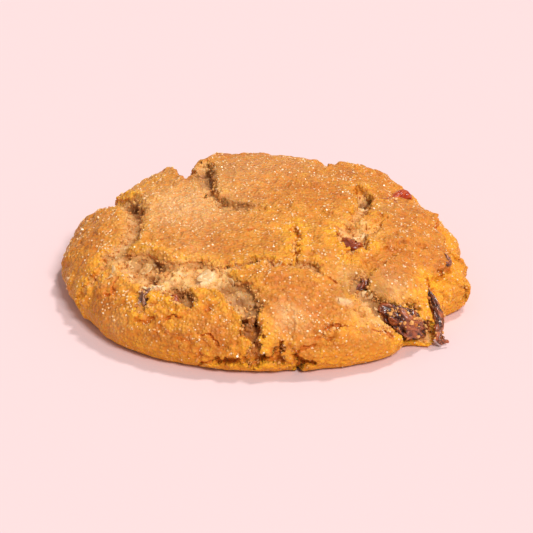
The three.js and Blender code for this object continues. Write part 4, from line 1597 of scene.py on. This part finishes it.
    @staticmethod
    def _cut_edges(mesh: Mesh, chosen: NDArray[np.bool_]) -> None:
        """Cuts edges of a mesh of triangles in two, and keeps it one of triangles.

        Args:
            mesh: The mesh.
            chosen: For each edge, whether it is cut.
        """
        bpy.ops.object.mode_set(mode="EDIT")
        bpy.ops.mesh.select_mode(type="EDGE")
        bpy.ops.mesh.select_all(action="DESELECT")
        bpy.ops.object.mode_set(mode="OBJECT")
        mesh.edges.foreach_set("select", chosen)
        bpy.ops.object.mode_set(mode="EDIT")
        bpy.ops.mesh.subdivide(number_cuts=1, ngon=False)
        bpy.ops.mesh.select_all(action="SELECT")
        bpy.ops.mesh.quads_convert_to_tris()
        bpy.ops.object.mode_set(mode="OBJECT")

    def _overhung(self, places: Floats, skin: Skin) -> Floats:
        """Points of the relief, with the torn edges hanging over the walls of the splits.

        Args:
            places: Rows of x and y.
            skin: The relief there.

        Returns:
            Rows of x, y and z.
        """
        shift = -self.overhang * np.sin(2 * np.pi * skin.share)
        shift *= smoothstep(skin.depth, *self.overhang_rise)
        shift *= smoothstep(-skin.depth, *self.overhang_end)
        shift = np.where(skin.depth > 0, shift, 0.0)
        return FORM.points(places + skin.away * shift[:, None], skin.height)

    def _roughened(self, points: Floats, places: Floats, skin: Skin,
                   normals: Floats) -> Floats:
        """Moves points in and out by lumps and pores, and keeps the masks of painted shade in the
        crannies, pores and creases between lumps.

        Args:
            points: Rows of x, y and z.
            places: Their places on the skin map.
            skin: The relief there.
            normals: The outward directions there.

        Returns:
            The moved points.
        """
        crumb = smoothstep(skin.torn, *self.crumb_blend)
        pale = self.pale_crumb * patches(places, self.pale_patches)
        crumb = np.maximum(crumb, np.clip(pale, 0, self.pale_limit)) * (1 - skin.flake)
        warped = points + self.warp * np.stack(
            [NOISE.smooth(points, self.warp_wave, layer) for layer in (1.3, 2.6, 3.9)], axis=1)
        near, _ = NOISE.cells(warped, self.lump_wave)
        fine, _ = NOISE.cells(warped, self.small_lump_wave, 4.0)
        pores = open_cells(NOISE.cells(warped, self.pore_wave, 9.0), 3, self.pore_edge)
        small_pores = open_cells(NOISE.cells(warped, self.small_pore_wave, 10.0), 2,
                                 self.small_pore_edge)
        lumps = (dome(near, self.lump_height) + dome(fine, self.small_lump_height)
                 - self.pore_depth * pores - self.small_pore_depth * small_pores)

        broad, _ = NOISE.cells(warped, self.crust_lump_wave, 6.0)
        grain, _ = NOISE.cells(warped, self.crust_grain_wave, 7.0)
        crag, _ = NOISE.cells(warped, self.crag_wave, 2.0)
        outside = np.maximum(skin.edge, 0.0)
        craggy = np.maximum(self.crag_lip * bump(outside, self.crag_reach), skin.crag)
        crust = (dome(broad, self.crust_lump_height, fall=1.5)
                 + dome(grain, self.crust_grain_height)
                 + self.crust_swell_height * NOISE.smooth(points, self.crust_swell_wave, 8.0)
                 + craggy * (dome(crag, self.crag_height, 0.5, 1.7)
                             - self.crag_pores * self.small_pore_depth * small_pores))

        # Painted shade: darker in the crannies between the crag lumps, not on the crumb.
        self.crag_shade = craggy * smoothstep(crag, *self.cranny_span) * (1 - crumb)
        self.pores = pores * crumb
        # Painted shade: rises from the middle of each lump of crust or crumb to the creases
        # between lumps.
        self.hollow_shade = np.clip(lerp(broad, near, crumb), 0, 1)
        height = lerp(crust - self.crust_sink, lumps, crumb)
        down = smoothstep(run_to(places), FORM.rim_run - 1, FORM.foot_run - 2)
        height *= 1 - self.foot_calm * down
        free = smoothstep(points[:, 2], 0.0, self.free_height)
        moved = points + normals * (height * free)[:, None]
        moved[:, 2] = np.maximum(moved[:, 2], 0.0)
        return moved

    def _carry_masks(self, mesh: Mesh, places: Floats, skin: Skin) -> None:
        """Stores what the material reads: where crumb, edges, browning, tints and painted shade
        lie.

        Args:
            mesh: The finished mesh.
            places: The places of its points on the skin map.
            skin: The relief there.
        """
        run = run_to(places)
        torn = NOISE.smooth(points_of(mesh) / MM, self.torn_wave, 12.0)
        patchy = NOISE.smooth(places, self.patchy_wave, 33.0)
        crumb = skin.torn + self.patchiness * torn + self.patchiness * patchy
        pale = patches(places, self.pale_patches)
        crumb = np.maximum(smoothstep(crumb, *self.crumb_span),
                           np.clip(pale * swung(torn, *self.pale_swing), 0, 1))
        # Browned crust and painted shade in the creases under the front lip, where no crumb shows.
        toast_and_shade = smoothstep(skin.depth - skin.torn, *self.toast_span)
        toast_and_shade *= (smoothstep(-places[:, 1], *self.toast_front)
                  * swung(torn, *self.toast_swing))
        outside = np.maximum(skin.bare, 0.0)
        edge = bump(outside, self.crag_reach) + self.crag_share * skin.crag
        brown = smoothstep(outside, *self.brown_from_edge) * swung(skin.rise, *self.brown_swing)
        brown *= 1 - self.crag_share * skin.crag
        masks = {
            "crumb": crumb * (1 - skin.flake),
            # Painted shade: darker with depth in the splits and in the crumb's pores.
            "deep": (smoothstep(skin.depth, *self.deep_span) * self.deep_share
                     + self.pore_shade * self.pores),
            "shade": patches(places, self.dark_crumbs) * swung(patchy, *self.shade_swing),
            # Browned crust and painted shade under the front lip, and painted shade along the
            # hairline cracks.
            "toast_and_shade": np.maximum(toast_and_shade, self.hairline_shade * skin.hairline),
            "hollow_shade": self.hollow_shade,
            "crag_shade": self.crag_shade,
            "edge": np.clip(edge, 0, 1) * (1 - crumb),
            "brown": brown + patches(places, self.brown_patches),
            "side": np.maximum(
                self.side_share * smoothstep(run, FORM.rim_run - self.side_start, FORM.foot_run),
                self.band_share * CRUST.beyond_step(places)),
            "underside": smoothstep(run - FORM.foot_run, *self.underside_seam),
            "berry": patches(places, self.berry_tints) * smoothstep(torn, *self.berry_span),
            # Pale, sugary crust, with a painted sheen on the front plate.
            "frost_and_sheen": patches(places, self.frost_and_sheen_patches),
            "flake": self.flake_share * skin.flake,
        }
        for name, values in masks.items():
            carry(mesh, name, np.clip(values, 0, 1))


# ---- Raisins ----


@dataclass
class Raisin:
    """A raisin, stretched along a line in the dough and wrinkled.

    Attributes:
        node: The CAD node that it stands for.
        width: Full width across its line.
        thickness: Full thickness.
        folds: Number of folds round it.
        path: Middle line, each point (x, y, height over the skin).
        kind: Its look.
        detail: Subdivisions of the ball that it is made from.
        fold_depth: How deep the folds are, as a share of the radius.
        fold_wander: How far the folds turn from one end to the other, in radians.
        full_thickness: Thickness from which the wrinkles have their full depth.
    """

    node: str
    width: float
    thickness: float
    folds: int
    path: tuple[Place, ...]
    kind: RaisinKind
    detail: int = 6
    fold_depth: float = 0.13
    fold_wander: float = 1.5
    lengthways: float = 0.3
    full_thickness: float = 3.0
    wrinkle_wave: float = 1.5
    wrinkle_depth: float = 0.32
    wrinkle_gain: float = 2.2
    wave_swing: Span = (0.55, 0.45)
    ridge_bluntness: float = 0.7
    ridge_middle: float = 0.8
    small_ridge_middle: float = 0.7
    ridge_mask: Place = (0.7, 0.5, 0.4)
    small_wrinkle_wave: float = 0.45
    small_wrinkle_depth: float = 0.1
    warp_wave: float = 1.7
    warp: float = 0.5
    lump_wave: float = 1.7
    lump_depth: float = 0.2
    least_height: float = 0.05

    def _curve(self, lift: float) -> Floats:
        """Points of the line through the path, raised by lift."""
        path = np.array(self.path)
        return FORM.points(path[:, :2], path[:, 2] + lift)

    @staticmethod
    def _along(knots: Floats, share: Floats) -> tuple[Floats, Floats]:
        """A smooth curve through knots.

        Args:
            knots: Rows of points that the curve runs through.
            share: Where on the curve, from 0 to 1.

        Returns:
            Points of the curve and its unit directions there.
        """
        ends = [2 * knots[0] - knots[1], 2 * knots[-1] - knots[-2]]
        line = np.vstack([ends[0], knots, ends[1]])
        spot = share * (len(knots) - 1)
        piece = np.clip(spot.astype(int), 0, len(knots) - 2)
        t = (spot - piece)[:, None]
        a, b, c, d = (line[piece + i] for i in range(4))
        gap = [np.linalg.norm(q - p, axis=1, keepdims=True) ** 0.5
               for p, q in ((a, b), (b, c), (c, d))]
        start = (b - a) / gap[0] - (c - a) / (gap[0] + gap[1]) + (c - b) / gap[1]
        stop = (c - b) / gap[1] - (d - b) / (gap[1] + gap[2]) + (d - c) / gap[2]
        start, stop = start * gap[1], stop * gap[1]
        square, cube = -3 * b + 3 * c - 2 * start - stop, 2 * b - 2 * c + start + stop
        point = b + start * t + square * t**2 + cube * t**3
        along = start + 2 * square * t + 3 * cube * t**2
        return point, along / np.linalg.norm(along, axis=1, keepdims=True)

    def build(self) -> Piece:
        """Builds and dresses the raisin.

        Returns:
            The piece.
        """
        ball = add_ball(f"{self.node}_skin", self.detail)
        unit = points_of(ball.data)
        share = (unit[:, 0] + 1) / 2
        centre, along = self._along(self._curve(0.0), share)
        upper, _ = self._along(self._curve(1.0), share)
        across = np.cross(upper - centre, along)
        across /= np.linalg.norm(across, axis=1, keepdims=True)
        normal = np.cross(along, across)

        turn = np.arctan2(unit[:, 2], unit[:, 1]) + self.fold_wander * unit[:, 0]
        fold = 1 + self.fold_depth * (np.sin(self.folds * turn) - 1)
        length = np.linalg.norm(np.diff(self._curve(0.0), axis=0), axis=1).sum()
        own = unit * np.array([length * self.lengthways, self.width / 2, self.thickness / 2])
        own += self.warp * np.stack(
            [NOISE.smooth(own, self.warp_wave, layer) for layer in (21.0, 22.0, 23.0)], axis=1)
        size = min(1.0, self.thickness / self.full_thickness)
        wave = self.wrinkle_wave * swung(size, *self.wave_swing)
        ridge = np.abs(NOISE.smooth(own, wave, float(self.folds)))
        ridge = np.clip(ridge * self.wrinkle_gain, 0, 1) ** self.ridge_bluntness
        small = np.abs(NOISE.smooth(own, wave * self.small_wrinkle_wave, 2.0))
        small = np.clip(small * self.wrinkle_gain, 0, 1)
        lump, _ = NOISE.cells(own, self.lump_wave, 5.0)
        reach = ((ridge - self.ridge_middle) * self.wrinkle_depth * size
                 + (small - self.small_ridge_middle) * self.small_wrinkle_depth * size
                 - self.lump_depth * size * lump**2)
        points = (centre
                  + across * (unit[:, 1] * self.width / 2 * fold)[:, None]
                  + normal * (unit[:, 2] * self.thickness / 2 * fold)[:, None])
        place_points(ball.data, points * MM)
        points += normals_of(ball.data) * reach[:, None]
        points[:, 2] = np.maximum(points[:, 2], self.least_height)
        place_points(ball.data, points * MM)
        high, fine, low = self.ridge_mask
        # Painted light and shade: lighter on the wrinkles' ridges, darker between the lumps.
        mask = high * ridge + fine * small - low * lump
        carry(ball.data, "ridge", np.clip(mask, 0, 1))
        bpy.ops.object.shade_smooth()
        finish_piece(ball, self.kind.value.material(), RAISIN_SLOT, self.node)
        return ball


RAISINS: tuple[Raisin, ...] = (
    Raisin("raisin_front_right", 6.6, 4.6, 5,
           ((23.4, -32.6, -1.8), (28.4, -35.0, -0.9), (33.6, -35.7, -0.5), (39.6, -33.8, -0.8)),
           RaisinKind.DARK, detail=7, fold_depth=0.06, wrinkle_depth=0.8, wrinkle_wave=1.9,
           lump_depth=0.5),
    Raisin("raisin_rim_strip", 3.0, 1.8, 2,
           ((34.8, -22.4, -1.8), (36.2, -26.0, -0.3), (37.7, -29.0, 0.3), (38.2, -31.6, 1.3),
            (38.5, -33.7, 2.2), (39.0, -35.2, 3.6), (40.6, -34.6, 5.5)), RaisinKind.DARK,
           wrinkle_depth=0.6, wrinkle_wave=1.6, lump_depth=0.3),
    Raisin("raisin_right_valley", 3.6, 2.6, 3,
           ((17.0, -10.8, -1.3), (18.6, -14.6, -1.0), (21.4, -13.6, -1.3)),
           RaisinKind.RED, wrinkle_depth=0.2),
    Raisin("raisin_back_right", 3.2, 2.8, 2,
           ((28.8, 9.0, -1.9), (31.2, 12.4, -1.2), (34.0, 15.6, 0.5), (35.8, 16.2, -0.4)),
           RaisinKind.GLOSSY, wrinkle_depth=0.12),
    Raisin("raisin_right_rim_curl", 1.4, 1.4, 3,
           ((37.0, -12.0, -0.3), (38.7, -13.2, 0.1), (39.0, -15.2, 0.1),
            (36.3, -15.6, 0.0)), RaisinKind.DARK, detail=5),
    Raisin("raisin_front_left", 3.4, 2.8, 4,
           ((-24.2, -28.4, -1.4), (-25.0, -30.6, -0.8), (-26.4, -33.4, -1.3)),
           RaisinKind.PURPLE, wrinkle_depth=0.7, wrinkle_wave=1.6, lump_depth=0.5),
    Raisin("raisin_crumb_pocket", 1.9, 1.6, 3,
           ((-20.2, -31.5, -1.6), (-19.2, -32.6, -1.1), (-18.3, -34.0, -1.5)),
           RaisinKind.RED, detail=5),
    Raisin("raisin_centre_right", 2.0, 1.8, 4,
           ((20.6, -25.2, -1.5), (20.1, -27.2, -0.9), (19.3, -28.8, -0.9),
            (18.2, -29.8, -1.2)), RaisinKind.BROWN, detail=5),
)


# ---- Things that lie on the dough ----


@dataclass
class Sugar:
    """Grains of sugar baked onto the crust.

    Attributes:
        least: Least size of a grain.
        greatest: Greatest size of a grain.
        small_share: The higher it is, the more of the grains are small.
        sink: How far a grain is sunk in, as a share of its size.
        sink_spread: How much further some are.
        rim: Where on the way to the rim the grains stop, counted backwards.
    """

    count: int = 1800
    least: float = 0.2
    greatest: float = 0.48
    small_share: float = 1.6
    sink: float = 0.42
    sink_spread: float = 0.3
    clump_waves: Span = (5.0, 1.5)
    small_clumps: float = 0.7
    clump_span: Span = (0.0, 1.1)
    between_clumps: float = 0.08
    everywhere: float = 0.03
    split_depth: Span = (0.1, 0.6)
    rim: Span = (-51.0, -44.0)
    squat: Span = (0.7, 1.0)
    tint_spread: Span = (0.8, 2.4)
    seed: int = 5

    def build(self, dough: Dough) -> Piece:
        """Builds and dresses the grains, which lie on the plates of the crust.

        Args:
            dough: The dough, already built.

        Returns:
            The piece.
        """
        draws = np.random.default_rng(self.seed)
        run, depth = run_to(dough.places), dough.skin.depth
        wide, narrow = self.clump_waves
        clumps = (NOISE.smooth(dough.places, wide, 15.0)
                  + self.small_clumps * NOISE.smooth(dough.places, narrow, 16.0))
        weight = (1 - smoothstep(depth, *self.split_depth)) * smoothstep(-run, *self.rim)
        weight *= self.between_clumps + smoothstep(clumps, *self.clump_span)
        weight += self.everywhere * (run < FORM.foot_run - 2) * (depth < dough.torn_depth)
        place, out = draw_spots(dough.mesh, draws, self.count, weight)
        bpy.ops.object.select_all(action="DESELECT")
        bpy.ops.mesh.primitive_cube_add(size=1.0)
        grain = bpy.context.object
        bpy.ops.object.mode_set(mode="EDIT")
        bpy.ops.mesh.select_all(action="SELECT")
        bpy.ops.mesh.quads_convert_to_tris()
        bpy.ops.object.mode_set(mode="OBJECT")
        size = lerp(self.least, self.greatest, draws.random(self.count) ** self.small_share) * MM
        stretch = draws.uniform(*self.squat, (self.count, 3)) * size[:, None]
        frames = turns(draws, self.count) * stretch[:, None, :]
        tints = draws.beta(*self.tint_spread, self.count)
        lift = size * (0.5 - self.sink - self.sink_spread * draws.random(self.count))
        piece = scatter_mesh("sugar_grains", grain.data, place + out * lift[:, None], frames,
                             tints)
        bpy.data.objects.remove(grain)
        finish = SpeckFinish("sugar", linear(255, 198, 132), linear(255, 224, 188),
                             roughness=0.3, gloss=0.6, glow=0.3)
        finish_piece(piece, finish.material(), DOUGH_SLOT)
        return piece


@dataclass
class Crumbs:
    """Loose crumbs in the splits, along their torn edges and on the large raisins.

    Attributes:
        least: Least size of a crumb.
        greatest: Greatest size of a crumb.
        small_share: The higher it is, the more of the crumbs are small.
        stuck: Raisins with crumbs stuck to them, and how many.
        stuck_size: How much larger the stuck crumbs are.
        back: Where the crumbs grow fewer towards the back, and by how much.
    """

    count: int = 3800
    least: float = 0.25
    greatest: float = 1.1
    small_share: float = 2.1
    seed: int = 8
    stuck: tuple[tuple[str, int], ...] = (
        ("raisin_front_right", 120), ("raisin_rim_strip", 30), ("raisin_front_left", 12),
        ("raisin_centre_right", 8),
    )
    stuck_size: float = 1.25
    back: Place = (-6.0, 4.0, 0.6)
    torn_weight: float = 0.9
    edge_weight: float = 0.6
    crag_weight: float = 0.5
    stray_weight: float = 0.02
    upward: Span = (-0.4, 0.4)
    stuck_wave: float = 2.2
    stuck_span: Span = (-0.1, 0.5)
    knob: Span = (0.34, 0.6)
    squat: Span = (0.45, 1.0)
    lift: float = 0.08

    def build(self, dough: Dough, raisins: dict[str, Piece]) -> Piece:
        """Builds and dresses the crumbs.

        Args:
            dough: The dough, already built.
            raisins: The raisins' pieces, by the names of their nodes.

        Returns:
            The piece.
        """
        draws = np.random.default_rng(self.seed)
        skin = dough.skin
        low, high, fewer = self.back
        weight = (self.torn_weight * smoothstep(skin.torn, *dough.crumb_blend)
                  + self.edge_weight * bump(skin.bare, 0.7) + self.crag_weight * skin.crag)
        weight *= (run_to(dough.places) < FORM.foot_run - 1.5) * (1 - skin.flake)
        weight *= 1 - fewer * smoothstep(dough.places[:, 1], low, high)
        drawn = [draw_spots(dough.mesh, draws, self.count, weight)]
        for node, count in self.stuck:
            mesh = raisins[node].data
            patchy = NOISE.smooth(points_of(mesh) / MM, self.stuck_wave, 27.0)
            above = smoothstep(normals_of(mesh)[:, 2], *self.upward)
            above *= smoothstep(patchy, *self.stuck_span)
            drawn.append(draw_spots(mesh, draws, count, above + self.stray_weight))
        place, out = (np.concatenate(rows) for rows in zip(*drawn))
        count = len(place)
        ball = add_ball("crumb_pattern", 1)
        shape = points_of(ball.data)
        place_points(ball.data, shape * draws.uniform(*self.knob, (len(shape), 1)))
        size = lerp(self.least, self.greatest, draws.random(count) ** self.small_share) * MM
        size[self.count:] *= self.stuck_size
        stretch = draws.uniform(*self.squat, (count, 3)) * size[:, None]
        frames = turns(draws, count) * stretch[:, None, :]
        raised = place + out * (size * self.lift)[:, None]
        piece = scatter_mesh("loose_crumbs", ball.data, raised, frames, draws.random(count))
        bpy.data.objects.remove(ball)
        finish = SpeckFinish("crumb_specks", linear(190, 108, 44), linear(238, 178, 106),
                             roughness=0.8, gloss=0.2)
        finish_piece(piece, finish.material(), DOUGH_SLOT)
        return piece


@dataclass
class OatFlakes:
    """Rolled oat flakes that lie bare in the crumb and on the torn edges.

    Attributes:
        flakes: Each flake: its place on the skin map, length, width, turn, lean about its
            length, and how pale it is.
        scraps: Number of small broken flakes in the crumb.
        detail: Subdivisions of the ball that the flake is made from.
        thickness: Thickness as a share of the length.
        curl: How far its ends turn up, as a share of the length.
        lift: How far it lies over the dough.
    """

    flakes: tuple[Place, ...] = (
        (-23.4, -28.6, 5.0, 2.2, -22, 8, 0.7), (-12.8, -27.2, 4.0, 3.0, 60, 0, 0.25),
        (15.6, -35.0, 3.0, 1.5, -8, 0, 0.25), (-33.2, -22.2, 4.0, 1.8, 62, 10, 0.35),
        (-25.6, -21.0, 3.0, 1.8, 20, 12, 0.35), (-17.4, -24.4, 2.8, 1.6, -30, 10, 0.35),
        (20.0, -9.6, 3.2, 1.8, 40, 10, 0.5), (23.0, 4.0, 2.6, 1.5, 80, 12, 0.4),
        (20.4, -31.6, 2.8, 1.7, -35, 10, 0.5),
        (-8.8, -33.4, 2.4, 1.5, -60, 12, 0.4), (2.6, -25.8, 2.2, 1.2, 10, 8, 0.5),
    )
    scraps: int = 36
    scrap_length: Span = (0.9, 2.0)
    detail: int = 3
    thickness: float = 0.11
    curl: float = 0.16
    lift: float = 0.02
    rest_share: float = 0.45
    scrap_place: Span = (0.6, 1.2)
    scrap_width: Span = (0.5, 0.8)
    scrap_lean: Span = (-25.0, 25.0)
    scrap_pale: Span = (0.1, 0.6)
    seed: int = 17

    def _pattern(self) -> Piece:
        """One flake, half a unit long and wide each way: thin, curled, with a split edge.

        Returns:
            The flake.
        """
        ball = add_ball("flake_pattern", self.detail)
        unit = points_of(ball.data)
        angle = np.arctan2(unit[:, 1], unit[:, 0])
        flat = np.hypot(unit[:, 0], unit[:, 1])
        outline = 1 + 0.07 * np.sin(3 * angle + 1) + 0.05 * np.sin(7 * angle)
        outline -= 0.18 * bump(np.abs(angle - 0.3), 0.25)
        rounded = np.sqrt(np.clip(1 - flat**4, 0, 1)) * np.sign(unit[:, 2])
        height = self.thickness / 2 * rounded + self.curl * (unit[:, 0]**2 - 0.35)
        height -= 0.03 * np.abs(unit[:, 1]) + 0.012 * np.sin(26 * unit[:, 1])
        place_points(ball.data, np.stack(
            [unit[:, 0] * outline / 2, unit[:, 1] * outline / 2, height], axis=1))
        return ball

    def build(self, dough: Dough) -> Piece:
        """Builds and dresses the flakes.

        Args:
            dough: The dough, already built.

        Returns:
            The piece.
        """
        draws = np.random.default_rng(self.seed)
        points, normals = points_of(dough.mesh), normals_of(dough.mesh)
        rows = []
        for x, y, length, width, turn, lean, pale in self.flakes:
            under = run_to(dough.places, x, y) < self.rest_share * width
            rows.append((points[under].mean(axis=0), normals[under].mean(axis=0),
                         length, width, turn, lean, pale))
        weight = smoothstep(dough.skin.torn, *self.scrap_place)
        weight *= run_to(dough.places) < FORM.rim_run - 4
        for place, out in zip(*draw_spots(dough.mesh, draws, self.scraps, weight)):
            length = draws.uniform(*self.scrap_length)
            rows.append((place, out, length, length * draws.uniform(*self.scrap_width),
                         draws.uniform(0, 360), draws.uniform(*self.scrap_lean),
                         draws.uniform(*self.scrap_pale)))
        frames, places = [], []
        for place, out, length, width, turn, lean, _ in rows:
            up = out / np.linalg.norm(out)
            turn, lean = math.radians(turn), math.radians(lean)
            along = np.array([math.cos(turn), math.sin(turn), 0.0])
            along -= up * (along @ up)
            along /= np.linalg.norm(along)
            across = np.cross(up, along)
            up, across = (up * math.cos(lean) + across * math.sin(lean),
                          across * math.cos(lean) - up * math.sin(lean))
            size = np.array([length, width, length]) * MM
            frames.append(np.stack([along, across, up], axis=1) * size)
            places.append(place + out * self.lift * MM)
        pattern = self._pattern()
        piece = scatter_mesh("oat_flakes", pattern.data, np.array(places), np.array(frames),
                             np.array([row[-1] for row in rows]))
        bpy.data.objects.remove(pattern)
        for face in piece.data.polygons:
            face.use_smooth = True
        finish = SpeckFinish("oat", linear(214, 150, 78), linear(253, 220, 166),
                             roughness=0.6, grain=0.7)
        finish_piece(piece, finish.material(), DOUGH_SLOT)
        return piece


# ---- Stage ----


@dataclass
class Studio:
    """Floor, light and camera.

    Attributes:
        suns: Each soft light: direction that it comes from, from +X towards +Y, its height
            over the floor, both in degrees, its strength, and its width in degrees.
        sky: Colour of the sky's light.
    """

    floor_size: float = 6.0
    camera_place: Place = (0.0, -0.49176, 0.25284)
    camera_height_angle: float = 27.0
    camera_reach: Span = (0.01, 20.0)
    lens: float = 168.0
    sensor_width: float = 36.0
    suns: tuple[Place, ...] = ((45.0, 60.0, 1.48, 8.0), (-62.0, 46.0, 2.24, 18.0))
    sky: Colour = (1.0, 0.98, 0.97, 1.0)
    sky_strength: float = 0.36

    def build(self) -> None:
        """Builds the stage."""
        bpy.ops.object.select_all(action="DESELECT")
        bpy.ops.mesh.primitive_plane_add(size=self.floor_size)
        floor = bpy.context.object
        floor.name = "floor"
        floor.data.materials.append(FloorFinish().material())

        scene = bpy.context.scene
        camera = bpy.data.objects.new("camera", bpy.data.cameras.new("camera"))
        camera.data.lens, camera.data.sensor_width = self.lens, self.sensor_width
        camera.data.clip_start, camera.data.clip_end = self.camera_reach
        camera.location = self.camera_place
        camera.rotation_euler = (math.radians(90 - self.camera_height_angle), 0, 0)
        scene.collection.objects.link(camera)
        scene.camera = camera

        for index, (side, height, strength, softness) in enumerate(self.suns):
            name = f"light_{index}"
            sun = bpy.data.objects.new(name, bpy.data.lights.new(name, "SUN"))
            sun.data.energy, sun.data.angle = strength, math.radians(softness)
            sun.rotation_euler = (math.radians(90 - height), 0, math.radians(90 + side))
            scene.collection.objects.link(sun)

        world = bpy.data.worlds.new("studio")
        world.use_nodes = True
        sky = world.node_tree.nodes["Background"]
        sky.inputs["Color"].default_value = self.sky
        sky.inputs["Strength"].default_value = self.sky_strength
        scene.world = world
        scene.view_settings.view_transform = "Standard"
        scene.view_settings.look = "None"


def main() -> None:
    """Builds the stage and then the cookie, and reports each piece."""
    logging.basicConfig(level=logging.INFO, format="%(name)s %(message)s")
    Studio().build()
    dough = Dough()
    pieces = [dough.build()]
    raisins = {raisin.node: raisin.build() for raisin in RAISINS}
    pieces += raisins.values()
    pieces += [Sugar().build(dough), Crumbs().build(dough, raisins), OatFlakes().build(dough)]
    for piece in pieces:
        log.info("%s: %d triangles", piece.name, len(piece.data.polygons))


if __name__ == "__main__":
    main()
